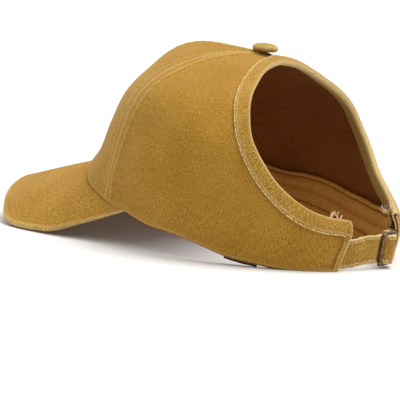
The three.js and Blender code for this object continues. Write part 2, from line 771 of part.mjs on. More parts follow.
// The origin lies at the middle of the underside of the cap's box
cap.updateMatrixWorld(true);
const box = new THREE.Box3().setFromObject(cap, true);
const middle = box.getCenter(new THREE.Vector3());
cap.position.set(-middle.x, -middle.y, -box.min.z);

export default cap;
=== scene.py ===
# Ponytail baseball cap: the sewn twill, its stitching and fittings, and a small studio round them.
# Shapes are worked out in millimetres and put into meshes in metres.
# The front is along -Y, the wearer's left along +X and up along +Z, as in the CAD.
import math

import bpy
import numpy as np
from mathutils import Matrix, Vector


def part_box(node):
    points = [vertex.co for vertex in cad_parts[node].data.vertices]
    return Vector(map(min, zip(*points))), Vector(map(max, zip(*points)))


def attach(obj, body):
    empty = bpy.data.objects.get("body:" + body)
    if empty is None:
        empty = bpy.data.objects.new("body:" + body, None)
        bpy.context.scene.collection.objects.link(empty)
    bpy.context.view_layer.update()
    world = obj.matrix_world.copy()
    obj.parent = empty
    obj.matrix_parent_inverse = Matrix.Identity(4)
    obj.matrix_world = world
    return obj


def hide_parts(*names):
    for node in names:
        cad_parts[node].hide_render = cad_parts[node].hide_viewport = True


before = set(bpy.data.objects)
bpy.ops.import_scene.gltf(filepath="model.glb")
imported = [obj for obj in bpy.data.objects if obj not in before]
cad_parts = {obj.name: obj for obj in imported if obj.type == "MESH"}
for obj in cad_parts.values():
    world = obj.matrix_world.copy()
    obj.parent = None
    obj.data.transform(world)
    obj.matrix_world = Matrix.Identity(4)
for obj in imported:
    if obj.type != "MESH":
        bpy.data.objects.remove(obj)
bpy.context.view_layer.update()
print("frame loaded")

# Camera: a long lens, a little tilted, from the rear left and slightly above
view = {
    "azimuth": 119.98, "elevation": 7.80, "roll": 4.60, "distance": 1459.6, "lens": 211.29,
    "target": (20.40, 6.75, 26.92),
}


def placeCamera():
    # Stands back from its target along azimuth and elevation, then rolls about its own view
    azimuth, elevation, roll = (math.radians(view[key]) for key in ("azimuth", "elevation", "roll"))
    back = np.array([
        math.sin(azimuth) * math.cos(elevation), -math.cos(azimuth) * math.cos(elevation),
        math.sin(elevation),
    ])
    right = np.array([math.cos(azimuth), math.sin(azimuth), 0.0])
    up = np.cross(back, right)
    right, up = (
        right * math.cos(roll) + up * math.sin(roll), up * math.cos(roll) - right * math.sin(roll))
    place = np.array(view["target"]) + back * view["distance"]
    camera = bpy.data.objects.new("camera", bpy.data.cameras.new("camera"))
    camera.data.sensor_width = 36
    camera.data.lens = view["lens"]
    camera.data.clip_start = 0.05
    camera.matrix_world = Matrix([
        (right[axis], up[axis], back[axis], place[axis] * 0.001) for axis in range(3)
    ] + [(0, 0, 0, 1)])
    bpy.context.collection.objects.link(camera)
    bpy.context.scene.camera = camera


placeCamera()
print("camera placed")

# The crown's own sizes, as in the CAD: sections from rim to button, creases, seams and the tilt
crown = {
    "halfWidth": 83.9, "frontReach": 105.6, "rearReach": 100.0, "height": 104.2, "topShift": -11.4,
    "tilt": 9.5,
    "up": [0.00, 0.20, 0.40, 0.60, 0.76, 0.88, 0.96, 1.00],
    "front": [1.000, 0.911, 0.846, 0.774, 0.665, 0.564, 0.365, 0.000],
    "side": [1.000, 1.045, 1.053, 1.013, 0.870, 0.590, 0.313, 0.000],
    "rear": [1.000, 0.998, 0.860, 0.770, 0.663, 0.474, 0.232, 0.000],
    "creases": [(0, 5.0, 1.3, 0.38, 1.0), (25, 5.2, 0.9, 0.34, -2.8)],
    "seamAtRim": 56.0,
    "seam": [1.000, 0.964, 0.962, 0.978, 0.990, 1.072, 1.168, 1.210],
    "cloth": 1.5, "seamGap": 0.3, "softness": 0.45,
}
opening = {
    "cornerRow": 1.38, "cornerTurn": 159.3, "footTurn": 153.6,
    "climb": [0.000, 0.010, 0.044, 0.121, 0.222, 0.343, 0.485, 0.646, 0.788, 0.909, 0.980, 1.000],
    "turn": [0.885, 0.830, 0.783, 0.740, 0.705, 0.674, 0.657, 0.646, 0.663, 0.728, 0.863, 1.000],
}
hem = {
    "width": 11.5, "cloth": 1.0, "gap": 0.45, "toPost": 0.9, "stitch": 10.7, "puff": 0.60,
    "threadLift": 1.25,
    "shares": [0.0, 0.05, 0.10, 0.15, 0.20, 0.26, 0.33, 0.39, 0.44, 0.50],
    "narrowing": [0.95, 0.99, 1.04, 1.04, 0.96, 0.88, 0.88, 0.79, 0.67, 0.66],
}
rim = {"lift": [1.000, 0.775, 0.665, 0.475, 0.240, 0.120, 0.010, 0.000, 0.000]}
peak = {
    "length": 60.5, "turn": 67.8, "slope": 15.8, "rootHeight": 43.0, "tipCurl": -2.0, "sideDrop": 38.0,
    "thickness": 3.2, "endThickness": 1.2, "bend": 0.789, "thinning": 0.25, "rootRow": 0.6,
    "reach": [0.00, 0.25, 0.50, 0.75, 0.90, 0.98, 1.00],
    "width": [1.000, 1.020, 1.035, 0.930, 0.632, 0.236, 0.000],
    "binding": 3.6, "rowPitch": 6.6, "settling": 2.0, "edgeCloth": 0.8,
}
topButton = {"postRadius": 1.6, "holeGap": 0.8, "levelled": 8}
welt = {
    "stitch": [5.2, 5.2, 6.0, 7.2, 7.2, 5.6, 3.8, 2.4], "centre": [3, 3, 3, 3, 3, 3, 2.8, 2.2],
    "beyond": 1.2, "rise": 0.5, "dent": 0.40, "overlap": 0.12, "threadLift": 0.12, "lastRow": 6.55,
}
endFold = {"width": 4.8, "rise": 0.45, "dent": 0.55}
rearParts = {"end": 4, "edge": 22, "seam": 1}  # shares of a side panel's rear outline


def catmullRom(a, b, c, d, t):
    # Cubic from b to c whose slope is half the step from a to c at first and from b to d at last
    return (2 * b + (c - a) * t + (2 * a - 5 * b + 4 * c - d) * t**2 + (3 * b - a - 3 * c + d) * t**3) / 2


def readTable(values, position):
    # Catmull-Rom curve through the values at rows 0, 1, 2 ..., straight before row 0
    values = np.asarray(values, float)
    position = np.asarray(position, float)
    padded = np.concatenate([[2 * values[0] - values[1]], values, [2 * values[-1] - values[-2]]])
    last = len(values) - 1
    row = np.clip(np.floor(position).astype(int), 0, last - 1)
    t = np.clip(position, 0, last) - row
    a, b, c, d = (padded[row + step] for step in range(4))
    return catmullRom(a, b, c, d, t) + np.minimum(position, 0) * (values[1] - values[0])


def smoothStep(value, low, high):
    # 0 at low, 1 at high and a smooth cubic step between them
    t = np.clip((value - low) / (high - low), 0, 1)
    return t * t * (3 - 2 * t)


def hump(distance, spread):
    # Bell curve: 1 in the middle, falling to about a third at one spread
    return np.exp(-((distance / spread) ** 2))


def unit(vectors):
    # Vectors divided by their lengths
    return vectors / np.maximum(np.linalg.norm(vectors, axis=-1, keepdims=True), 1e-12)


def lerp(a, b, t):
    # Straight mix: a at 0 and b at 1
    return a + (b - a) * t


def waves(points, size, seed, count=9):
    # Soft irregular field from about -1 to 1: a sum of sine waves in fixed directions
    random = np.random.default_rng(seed)
    directions = unit(random.normal(size=(count, points.shape[-1])))
    lengths = size * random.uniform(0.7, 1.6, count)
    phases = random.uniform(0, 2 * math.pi, count)
    angles = points @ (directions * (2 * math.pi / lengths)[:, None]).T + phases
    return np.sin(angles).sum(-1) / math.sqrt(count) * 0.8


topRow = len(crown["up"]) - 1


def spotAt(row, turn):
    # Spot on a flat disc with the button in its middle: row counts inwards, turn from the front
    row, turn = np.broadcast_arrays(np.asarray(row, float), np.asarray(turn, float))
    return np.stack([(topRow - row) * np.sin(turn), -(topRow - row) * np.cos(turn)], -1)


def rowOf(spots):
    # Rows from the rim: the number of the top row less the distance to the middle of the disc
    return topRow - np.hypot(spots[..., 0], spots[..., 1])


def turnOf(spots):
    # Angle round the disc from the front, positive to the wearer's left
    return np.arctan2(spots[..., 0], -spots[..., 1])


def crownSurface(spots):
    # Elliptical sections whose front and rear halves differ, with soft creases, tilted about X
    row, turn = rowOf(spots), turnOf(spots)
    up = readTable(crown["up"], row)
    front = np.cos(turn) > 0
    reach = np.where(
        front,
        crown["frontReach"] * readTable(crown["front"], row),
        crown["rearReach"] * readTable(crown["rear"], row),
    )
    width = crown["halfWidth"] * readTable(crown["side"], row)
    swell = crown["softness"] * waves(spots, 1.9, 4) * smoothStep(row, 6.7, 5.6) * smoothStep(row, 0.1, 0.9)
    for creaseTurn, creaseRow, along, across, height in crown["creases"]:
        aside = np.abs(turn) - math.radians(creaseTurn)
        offAcross = (topRow - row) * np.sin(aside) / across
        offAlong = ((topRow - row) * np.cos(aside) - topRow + creaseRow) / along
        swell = swell + height * np.exp(-(offAcross**2) - offAlong**2)
    lean = up**2
    x = (width + swell * (1 - lean)) * np.sin(turn)
    y = crown["topShift"] * up - (reach + swell * (1 - lean)) * np.cos(turn)
    z = crown["height"] * up + swell * lean
    tilt = math.radians(crown["tilt"])
    lift = crown["rearReach"] * math.sin(tilt)
    return np.stack([
        x,
        y * math.cos(tilt) + z * math.sin(tilt),
        z * math.cos(tilt) - y * math.sin(tilt) + lift,
    ], -1)


def crownSlopes(spots):
    # Change of the surface per unit of disc to the left and to the rear, by central differences
    probe = 0.02
    return [
        (crownSurface(spots + step) - crownSurface(spots - step)) / (2 * probe)
        for step in (np.array([probe, 0.0]), np.array([0.0, probe]))
    ]


def crownNormal(spots):
    # Outward normal: the cross product of the two slopes
    toLeft, toRear = crownSlopes(spots)
    return unit(np.cross(toLeft, toRear))


def crownPoint(spots, depth):
    # Surface point moved inwards along the normal by a depth
    depth = np.asarray(depth, float)
    return crownSurface(spots) - crownNormal(spots) * depth[..., None]


def findSpots(turns, depth, isPast):
    # Halves the range of rows until the surface at each turn just passes the test
    turns = np.asarray(turns, float)
    low, high = np.full(turns.shape, -2.0), np.full(turns.shape, float(topRow))
    for _ in range(24):
        middle = (low + high) / 2
        past = isPast(crownPoint(spotAt(middle, turns), np.broadcast_to(depth, turns.shape)))
        low, high = np.where(past, low, middle), np.where(past, middle, high)
    return spotAt((low + high) / 2, turns)


peakRootLine = float(crownSurface(spotAt(peak["rootRow"], 0.0))[1])
peakRootHalfWidth = float(crownSurface(spotAt(0.0, math.radians(peak["turn"])))[0])
# The CAD moves the finished cap so that its box is centred: the peak's tip gives that move
shift = np.array([0.0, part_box("peak")[0].y * 1000 - (peakRootLine - peak["length"]), 0.0])


def peakTop(x, y):
    # Slopes forward, curls at the tip, bends down at the sides like an arc and settles on the floor
    forward = peakRootLine - y
    arc = 1 - np.sqrt(np.maximum(1 - (peak["bend"] * x / peakRootHalfWidth) ** 2, 0))
    arcEnd = 1 - math.sqrt(1 - peak["bend"] ** 2)
    curl = peak["tipCurl"] * (np.maximum(forward, 0) / peak["length"]) ** 2
    slope = math.tan(math.radians(peak["slope"]))
    height = peak["rootHeight"] - forward * slope + curl - peak["sideDrop"] * arc / arcEnd
    above = (height - peak["thickness"]) / peak["settling"]
    return peak["thickness"] + peak["settling"] * np.logaddexp(0, above)


def peakNormal(x, y):
    # Upward normal of the peak from its slopes, with an upright part of 1
    probe = 0.02
    slopeX = (peakTop(x + probe, y) - peakTop(x - probe, y)) / (2 * probe)
    slopeY = (peakTop(x, y + probe) - peakTop(x, y - probe)) / (2 * probe)
    return np.stack([-slopeX, -slopeY, np.ones_like(slopeX)], -1)


peakTurn = math.radians(peak["turn"])
seamTurn = math.radians(crown["seamAtRim"])
footTurn = math.radians(opening["footTurn"])
cornerTurn = math.radians(opening["cornerTurn"])


def aboveJoint(points):
    # Tests for points that clear the peak by the seam gap, measured square to it
    lift = crown["seamGap"] * np.linalg.norm(peakNormal(points[..., 0], points[..., 1]), axis=-1)
    return points[..., 2] > peakTop(points[..., 0], points[..., 1]) + lift


rimLift = float(crownSurface(findSpots(np.array([peakTurn]), 0.0, aboveJoint))[0, 2])


def rimHeight(turns):
    # Height of the lower edge over the floor, read from a table on the way from peak to rear
    along = np.clip((np.abs(turns) - peakTurn) / (footTurn - peakTurn), 0, 1)
    return np.maximum(rimLift * readTable(rim["lift"], along * (len(rim["lift"]) - 1)), 0)


def edgeSpots(turns, depth=0.0):
    # Lower edge of the panels: just above the peak in front, then down to the floor
    turns = np.asarray(turns, float)
    joint = np.abs(turns) <= peakTurn
    heights = rimHeight(turns)
    return findSpots(turns, depth, lambda p: np.where(joint, aboveJoint(p), p[..., 2] > heights))


buttonPoint = crownSurface(np.zeros((1, 2)))[0]
holeRadius = topButton["postRadius"] + topButton["holeGap"]


def holeSpots(turns, radius=holeRadius):
    # Spots where the crown comes within a radius of the button's point
    return findSpots(turns, 0.0, lambda p: np.linalg.norm(p - buttonPoint, axis=-1) < radius)


tableTurns = np.linspace(0, math.pi, 1201)
edgeTable, holeTable = rowOf(edgeSpots(tableTurns)), rowOf(holeSpots(tableTurns))


def edgeRow(turns):
    # Row of the lower edge at each turn
    return np.interp(np.abs(turns), tableTurns, edgeTable)


def holeRow(turns):
    # Row of the button's hole at each turn
    return np.interp(np.abs(turns), tableTurns, holeTable)


def besides(spots, distance):
    # The same spots moved round the button by a distance in millimetres on the surface
    turn, row = turnOf(spots), rowOf(spots)
    arc = np.linalg.norm(crownSurface(spotAt(row, turn + 0.02)) - crownSurface(spots), axis=-1) / 0.02
    return spotAt(row, turn + distance / arc)


def seamSpots(row, distance):
    # Spots beside the left side seam, towards the rear for a positive distance
    turn = math.radians(crown["seamAtRim"]) * readTable(crown["seam"], row)
    return besides(spotAt(row, turn), distance)


openingTopRow = float(rowOf(holeSpots(
    np.array([math.pi]), topButton["postRadius"] + hem["toPost"] + hem["width"]))[0])


def buildOpening():
    # Edge of the rear opening, even in disc length: a Catmull-Rom curve from corner over top to corner
    rows = lerp(opening["cornerRow"], openingTopRow, np.array(opening["climb"]))
    left = spotAt(rows, np.array(opening["turn"]) * math.pi)
    points = np.concatenate([left, left[-2::-1] * [-1, 1]])
    ends = np.concatenate([points[:1], points, points[-1:]])
    position = np.linspace(0, len(points) - 1, 4001)
    row = np.minimum(position.astype(int), len(points) - 2)
    t = (position - row)[:, None]
    a, b, c, d = (ends[row + step] for step in range(4))
    path = catmullRom(a, b, c, d, t)
    length = np.concatenate([[0], np.cumsum(np.linalg.norm(np.diff(path, axis=0), axis=1))])
    return path, length / length[-1]


openingPath, openingShares = buildOpening()


def openingSpots(share):
    # Spot at a share of the opening's edge, from the left corner over the top to the right one
    return np.stack([np.interp(share, openingShares, openingPath[:, axis]) for axis in range(2)], -1)


openingLength = float(np.linalg.norm(np.diff(
    crownSurface(openingSpots(np.linspace(0, 1, 400))), axis=0), axis=1).sum())


def hemSpots(share, inward):
    # Spots at a distance from the opening's edge into the cloth; near each corner the way there
    # swings to the end's own edge
    share, inward = np.broadcast_arrays(np.asarray(share, float), np.asarray(inward, float))
    spots = openingSpots(share)
    tangent = unit(openingSpots(np.clip(share + 0.002, 0, 1)) - openingSpots(np.clip(share - 0.002, 0, 1)))
    toLeft, toRear = crownSlopes(spots)
    along = unit(toLeft * tangent[..., :1] + toRear * tangent[..., 1:])
    square = np.cross(unit(np.cross(toLeft, toRear)), along)
    ll, lr, rr = ((a * b).sum(-1) for a, b in ((toLeft, toLeft), (toLeft, toRear), (toRear, toRear)))
    dl, dr = (toLeft * square).sum(-1), (toRear * square).sum(-1)
    step = np.stack([dl * rr - dr * lr, dr * ll - dl * lr], -1) / (ll * rr - lr * lr)[..., None]
    side = np.where(share < 0.5, 1.0, -1.0)
    corner = spotAt(opening["cornerRow"], cornerTurn)
    foot = spotAt(edgeRow(footTurn), footTurn)
    endStep = (foot - corner) / np.linalg.norm(crownSurface(corner) - crownSurface(foot))
    endStep = endStep * np.stack([side, np.ones_like(side)], -1)
    fromCorner = np.minimum(share, 1 - share) * openingLength
    swing = (1 - smoothStep(fromCorner, 0, hem["width"]))[..., None]
    return spots + lerp(step, endStep, swing) * inward[..., None]


print("crown formulas ready")


def spread(length, coarse, low=True, high=True):
    # Shares from 0 to 1 for a stretch of this length: steps grow from 0.1 mm at a finished edge
    fine = np.array([0, 0.12, 0.3, 0.5, 0.75, 1.1, 1.5, 1.9, 2.3, 2.6, 2.9, 3.2, 3.6, 4.0, 4.5, 5.1, 5.9])
    start, end = (fine if low else fine[:1]), (fine if high else fine[:1])
    count = max(int((length - start[-1] - end[-1]) / coarse), 1)
    middle = np.linspace(start[-1], length - end[-1], count + 1)
    return np.concatenate([start[:-1], middle, length - end[-2::-1]]) / length


def lengthAlong(points, axis):
    # Distance travelled over a grid along one of its axes
    steps = np.linalg.norm(np.diff(points, axis=axis), axis=-1)
    start = np.zeros_like(np.take(steps, [0], axis=axis))
    return np.concatenate([start, np.cumsum(steps, axis=axis)], axis=axis)


def roundOff(distance, radius):
    # How far a quarter-round edge has fallen away at a distance from the edge
    inside = np.clip(radius - distance, 0, radius)
    return radius - np.sqrt(radius**2 - inside**2)


def slab(outer, inner):
    # Closed solid between two grids of the same size, with walls along its four edges
    rows, columns = outer.shape[:2]
    index = np.arange(rows * columns).reshape(rows, columns)
    quads = np.stack([index[:-1, :-1], index[:-1, 1:], index[1:, 1:], index[1:, :-1]], -1).reshape(-1, 4)
    rimLoop = np.concatenate([index[0, :-1], index[:-1, -1], index[-1, :0:-1], index[:0:-1, 0]])
    after = np.roll(rimLoop, -1)
    size = rows * columns
    walls = np.stack([after, rimLoop, rimLoop + size, after + size], -1)
    points = np.concatenate([outer.reshape(-1, 3), inner.reshape(-1, 3)])
    return points, [quads, quads[:, ::-1] + size, walls], [0, 1, 0]


def tube(rings):
    # Closed solid round a stack of rings, with a fan on each end
    count, sides = rings.shape[:2]
    index = np.arange(count * sides).reshape(count, sides)
    after = np.roll(index, -1, axis=1)
    quads = np.stack([index[:-1], after[:-1], after[1:], index[1:]], -1).reshape(-1, 4)
    points = np.concatenate([rings.reshape(-1, 3), rings[:1].mean(1), rings[-1:].mean(1)])
    first = np.stack([after[0], index[0], np.full(sides, count * sides)], -1)
    last = np.stack([index[-1], after[-1], np.full(sides, count * sides + 1)], -1)
    return points, [quads, first, last], [0, 0, 0]


def addPiece(name, solid, materials, node=None, uv=None, worn=None):
    # Puts a solid into a mesh, turns its faces outwards and hands it to the frame
    points, groups, kinds = solid
    points = (points + shift) * 0.001
    corners = [face[:, [0, step, step + 1]] for face in groups for step in range(1, face.shape[1] - 1)]
    a, b, c = (points[np.concatenate(corners)[:, corner]] for corner in range(3))
    if np.einsum("ij,ij->", a, np.cross(b, c)) < 0:
        groups = [face[:, ::-1] for face in groups]
    mesh = bpy.data.meshes.new(name)
    mesh.from_pydata(points.tolist(), [], [face for group in groups for face in group.tolist()])
    kindOf = np.concatenate([np.full(len(group), kind) for group, kind in zip(groups, kinds)])
    mesh.polygons.foreach_set("material_index", kindOf if len(materials) > 1 else kindOf * 0)
    mesh.polygons.foreach_set("use_smooth", np.ones(len(kindOf), bool))
    mesh.set_sharp_from_angle(angle=math.radians(60))
    corner = np.empty(len(mesh.loops), int)
    mesh.loops.foreach_get("vertex_index", corner)
    if uv is not None:
        flat = np.concatenate([uv.reshape(-1, 2)] * (len(points) // (uv.size // 2) + 1))[:len(points)]
        mesh.uv_layers.new(name="cloth").uv.foreach_set("vector", flat[corner].ravel())
    values = np.zeros(len(points)) if worn is None else np.concatenate([np.ravel(worn)] * 2)[:len(points)]
    values = np.concatenate([values, np.zeros(len(points) - len(values))])
    mesh.attributes.new("worn", "FLOAT", "POINT").data.foreach_set("value", values)
    for material in materials:
        mesh.materials.append(material)
    mesh.update()
    piece = bpy.data.objects.new(name, mesh)
    bpy.context.collection.objects.link(piece)
    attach(piece, "root")
    if node:
        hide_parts(node)
    return piece


def joinSolids(solids):
    # Several solids as one: points end to end, faces renumbered
    points, groups, kinds, start = [], [], [], 0
    for solid in solids:
        points.append(solid[0])
        groups += [face + start for face in solid[1]]
        kinds += solid[2]
        start += len(solid[0])
    return np.concatenate(points), groups, kinds


def mirrored(solid):
    # The solid on the other side: x changes sign and each face runs the other way round
    points, groups, kinds = solid
    return points * [-1, 1, 1], [face[:, ::-1] for face in groups], kinds


def threads(centre, normal, radius):
    # Closed six-sided tubes round many short paths at once: paths, points along a path, x y z
    along = unit(np.gradient(centre, axis=1))
    aside = unit(np.cross(along, normal))
    upright = np.cross(aside, along)
    angles = np.arange(6) * math.pi / 3
    ring = aside[:, :, None] * np.cos(angles)[:, None] * 1.15 + upright[:, :, None] * np.sin(angles)[:, None]
    points = centre[:, :, None] + ring * radius[..., None, None]
    count, steps = centre.shape[:2]
    index = np.arange(steps * 6).reshape(steps, 6)
    after = np.roll(index, -1, axis=1)
    quads = np.stack([index[:-1], after[:-1], after[1:], index[1:]], -1).reshape(-1, 4)
    last = (steps - 1) * 6
    caps = np.array([[5, 4, 3, 0], [3, 2, 1, 0], [last, last + 1, last + 2, last + 3],
                     [last, last + 3, last + 4, last + 5]])
    faces = np.concatenate([quads, caps]) + (np.arange(count) * steps * 6)[:, None, None]
    return points.reshape(-1, 3), [faces.reshape(-1, 4)], [0]


def stitchRow(path, normals, pitch=3.0, length=2.6, radius=0.22, lift=0.06, seed=1):
    # Separate stitches along a path: each a short thread whose ends dip into the cloth
    travelled = lengthAlong(path, 0)
    count = int(travelled[-1] / pitch)
    random = np.random.default_rng(seed)
    starts = (np.arange(count) + 0.25 + random.uniform(-0.06, 0.06, count)) * travelled[-1] / count
    shares = np.array([0.0, 0.14, 0.5, 0.86, 1.0])
    thick = np.array([0.35, 0.9, 1.0, 0.9, 0.35])
    rise = np.array([-0.9, 0.1, 0.55, 0.1, -0.9])
    at = starts[:, None] + shares * length
    centre = np.stack([np.interp(at, travelled, path[:, axis]) for axis in range(3)], -1)
    normal = unit(np.stack([np.interp(at, travelled, normals[:, axis]) for axis in range(3)], -1))
    aside = unit(np.cross(unit(np.gradient(centre, axis=1)), normal))
    slant = random.uniform(-0.05, 0.05, (count, 1, 1)) * (shares - 0.5)[:, None] * length
    centre = centre + normal * ((lift + rise * radius)[:, None]) + aside * slant
    return threads(centre, normal, np.broadcast_to(thick * radius, centre.shape[:2]))


def looseEnds(start, upward, aside, count, length, width, radius=0.16, seed=1):
    # Frayed yarn ends: thin threads that fan out from a cut edge and curl at their tips
    random = np.random.default_rng(seed)
    place = random.uniform(-0.5, 0.5, (count, 1, 1))
    t = np.linspace(0, 1, 9)[:, None]
    reach = length * random.uniform(0.45, 1.0, (count, 1, 1))
    lean = place * 0.8 + random.normal(0, 0.22, (count, 1, 1))
    curl = random.normal(0, 0.4, (count, 1, 1))
    outward = np.cross(aside, upward)
    centre = (start + aside * (place * width + reach * (lean * t + curl * t**2 * 0.6))
              + upward * reach * (t - 0.35 * np.abs(curl) * t**3)
              + outward * reach * random.normal(0, 0.22, (count, 1, 1)) * t**1.5)
    radii = radius * (1 - 0.45 * t[:, 0]) * random.uniform(0.7, 1.2, (count, 1))
    return threads(centre, np.broadcast_to(outward, centre.shape), radii)


# Materials

def toLinear(hexColour):
    # sRGB hex colour to linear red, green, blue and alpha
    values = [int(hexColour[start:start + 2], 16) / 255 for start in (0, 2, 4)]
    return tuple(v / 12.92 if v <= 0.04045 else ((v + 0.055) / 1.055) ** 2.4 for v in values) + (1.0,)


def addNode(tree, kind, inputs=None, output=0, **settings):
    # Adds a node with its settings, its inputs being values or other nodes' outputs; gives one output
    node = tree.nodes.new(kind)
    for name, value in settings.items():
        setattr(node, name, value)
    for name, value in (inputs or {}).items():
        if isinstance(value, bpy.types.NodeSocket):
            tree.links.new(value, node.inputs[name])
        else:
            node.inputs[name].default_value = value
    return node.outputs[output]


def startMaterial(name, inputs):
    # New material with these shader values; gives its tree and shader too
    material = bpy.data.materials.new(name)
    material.use_nodes = True
    tree = material.node_tree
    shader = tree.nodes["Principled BSDF"]
    for key, value in inputs.items():
        shader.inputs[key].default_value = value
    return material, tree, shader


twill = {
    # Sizes in millimetres. A real twill line is 0.6 mm, drawn at 1.3 so that it shows.
    "line": 1.3, "yarnWidth": 0.75, "yarnLength": 3.2, "speck": 0.62, "patch": 24,
    "yarnShare": 0.34, "speckShare": 0.54, "patchShare": 0.12,
}


def sewnTwill(name, dark, middle, light, fleck, worn, lineContrast=0.12, slant=32, sheen=0.34):
    # Washed cotton twill: matt, faded unevenly, with fine slanted lines and yarns of uneven colour
    material, tree, shader = startMaterial(name, {
        "Roughness": 0.92, "Specular IOR Level": 0.15, "Sheen Weight": sheen, "Sheen Roughness": 0.5,
        "Sheen Tint": toLinear("f0d8a0"),
    })
    cloth = addNode(tree, "ShaderNodeUVMap", uv_map="cloth")
    place = addNode(tree, "ShaderNodeTexCoord", output="Object")
    yarn = addNode(tree, "ShaderNodeTexNoise", {
        "Vector": addNode(tree, "ShaderNodeMapping", {
            "Vector": cloth, "Scale": (1 / twill["yarnWidth"], 1 / twill["yarnLength"], 1)}),
        "Scale": 1.0, "Detail": 2.0, "Roughness": 0.6})
    speck = addNode(tree, "ShaderNodeTexNoise", {
        "Vector": cloth, "Scale": 1 / twill["speck"], "Detail": 1.0, "Roughness": 0.5})
    patch = addNode(tree, "ShaderNodeTexNoise", {
        "Vector": place, "Scale": 1000 / twill["patch"], "Detail": 3.0, "Roughness": 0.5})
    lines = addNode(tree, "ShaderNodeTexWave", {
        "Vector": addNode(tree, "ShaderNodeMapping", {
            "Vector": cloth, "Rotation": (0, 0, math.radians(slant))}),
        "Scale": 0.314 / twill["line"], "Distortion": 1.2, "Detail": 2.0, "Detail Scale": 1.5}, output=1)
    fields = addNode(tree, "ShaderNodeCombineXYZ", {0: yarn, 1: speck, 2: patch})
    tone = addNode(tree, "ShaderNodeVectorMath", {
        0: fields, 1: (twill["yarnShare"], twill["speckShare"], twill["patchShare"])},
        output="Value", operation="DOT_PRODUCT")
    shades = addNode(tree, "ShaderNodeValToRGB", {"Fac": tone})
    ramp = shades.node.color_ramp
    ramp.elements[0].position, ramp.elements[0].color = 0.34, toLinear(dark)
    ramp.elements[1].position, ramp.elements[1].color = 0.67, toLinear(fleck)
    ramp.elements.new(0.48).color = toLinear(middle)
    ramp.elements.new(0.57).color = toLinear(light)
    lineShare = addNode(tree, "ShaderNodeMapRange", {"Value": lines, "To Min": lineContrast, "To Max": 0.0})
    lined = addNode(tree, "ShaderNodeMix", {
        0: lineShare, 6: shades, 7: toLinear(dark)}, output=2, data_type="RGBA")
    wornShare = addNode(tree, "ShaderNodeAttribute", output="Fac", attribute_name="worn")
    uneven = addNode(tree, "ShaderNodeMapRange", {
        "Value": speck, "From Min": 0.30, "From Max": 0.68, "To Min": 0.35, "To Max": 1.0})
    rubbed = addNode(tree, "ShaderNodeMath", {0: wornShare, 1: uneven}, operation="MULTIPLY", use_clamp=True)
    colour = addNode(tree, "ShaderNodeMix", {
        0: rubbed, 6: lined, 7: toLinear(worn)}, output=2, data_type="RGBA")
    tree.links.new(colour, shader.inputs["Base Color"])
    threadHeights = addNode(tree, "ShaderNodeCombineXYZ", {0: lines, 1: speck, 2: yarn})
    height = addNode(tree, "ShaderNodeVectorMath", {
        0: threadHeights, 1: (0.3, 0.6, 0.5)}, output="Value", operation="DOT_PRODUCT")
    relief = addNode(tree, "ShaderNodeBump", {"Height": height, "Strength": 0.5, "Distance": 0.0006})
    tree.links.new(relief, shader.inputs["Normal"])
    return material


def sewingThread(name, colour, pale):
    # Spun polyester thread: slightly glossy, twisted, with small changes of tone from stitch to stitch
    material, tree, shader = startMaterial(name, {"Roughness": 0.6, "Specular IOR Level": 0.3})
    place = addNode(tree, "ShaderNodeTexCoord", output="Object")
    tone = addNode(tree, "ShaderNodeTexNoise", {"Vector": place, "Scale": 420.0, "Detail": 2.0})
    share = addNode(tree, "ShaderNodeMapRange", {"Value": tone, "From Min": 0.35, "From Max": 0.65})
    tree.links.new(
        addNode(tree, "ShaderNodeMix", {0: share, 6: toLinear(colour), 7: toLinear(pale)}, output=2,
                data_type="RGBA"),
        shader.inputs["Base Color"])
    twist = addNode(tree, "ShaderNodeTexWave", {
        "Vector": place, "Scale": 700.0, "Distortion": 1.0}, output=1, bands_direction="DIAGONAL")
    relief = addNode(tree, "ShaderNodeBump", {"Height": twist, "Strength": 0.3, "Distance": 0.0001})
    tree.links.new(relief, shader.inputs["Normal"])
    return material


def agedBrass(name):
    # Brass under a dark brown antique finish: soft gloss, rubbed bright in spots and at its edges
    material, tree, shader = startMaterial(name, {"Metallic": 0.9, "Roughness": 0.42})
    place = addNode(tree, "ShaderNodeTexCoord", output="Object")
    patina = addNode(tree, "ShaderNodeTexNoise", {
        "Vector": place, "Scale": 900.0, "Detail": 4.0, "Roughness": 0.6})
    wornShare = addNode(tree, "ShaderNodeAttribute", output="Fac", attribute_name="worn")
    bare = addNode(tree, "ShaderNodeMapRange", {"Value": patina, "From Min": 0.40, "From Max": 0.62})
    rubbed = addNode(tree, "ShaderNodeMath", {0: wornShare, 1: bare}, operation="MULTIPLY")
    dull = addNode(tree, "ShaderNodeMapRange", {"Value": patina, "From Min": 0.35, "From Max": 0.7})
    base = addNode(tree, "ShaderNodeMix", {
        0: dull, 6: toLinear("2a1d16"), 7: toLinear("5a4130")}, output=2, data_type="RGBA")
    colour = addNode(tree, "ShaderNodeMix", {
        0: rubbed, 6: base, 7: toLinear("c09a68")}, output=2, data_type="RGBA")
    tree.links.new(colour, shader.inputs["Base Color"])
    matt = addNode(tree, "ShaderNodeMapRange", {
        "Value": patina, "From Min": 0.3, "From Max": 0.7, "To Min": 0.30, "To Max": 0.5})
    tree.links.new(matt, shader.inputs["Roughness"])
    relief = addNode(tree, "ShaderNodeBump", {"Height": patina, "Strength": 0.25, "Distance": 0.0002})
    tree.links.new(relief, shader.inputs["Normal"])
    return material


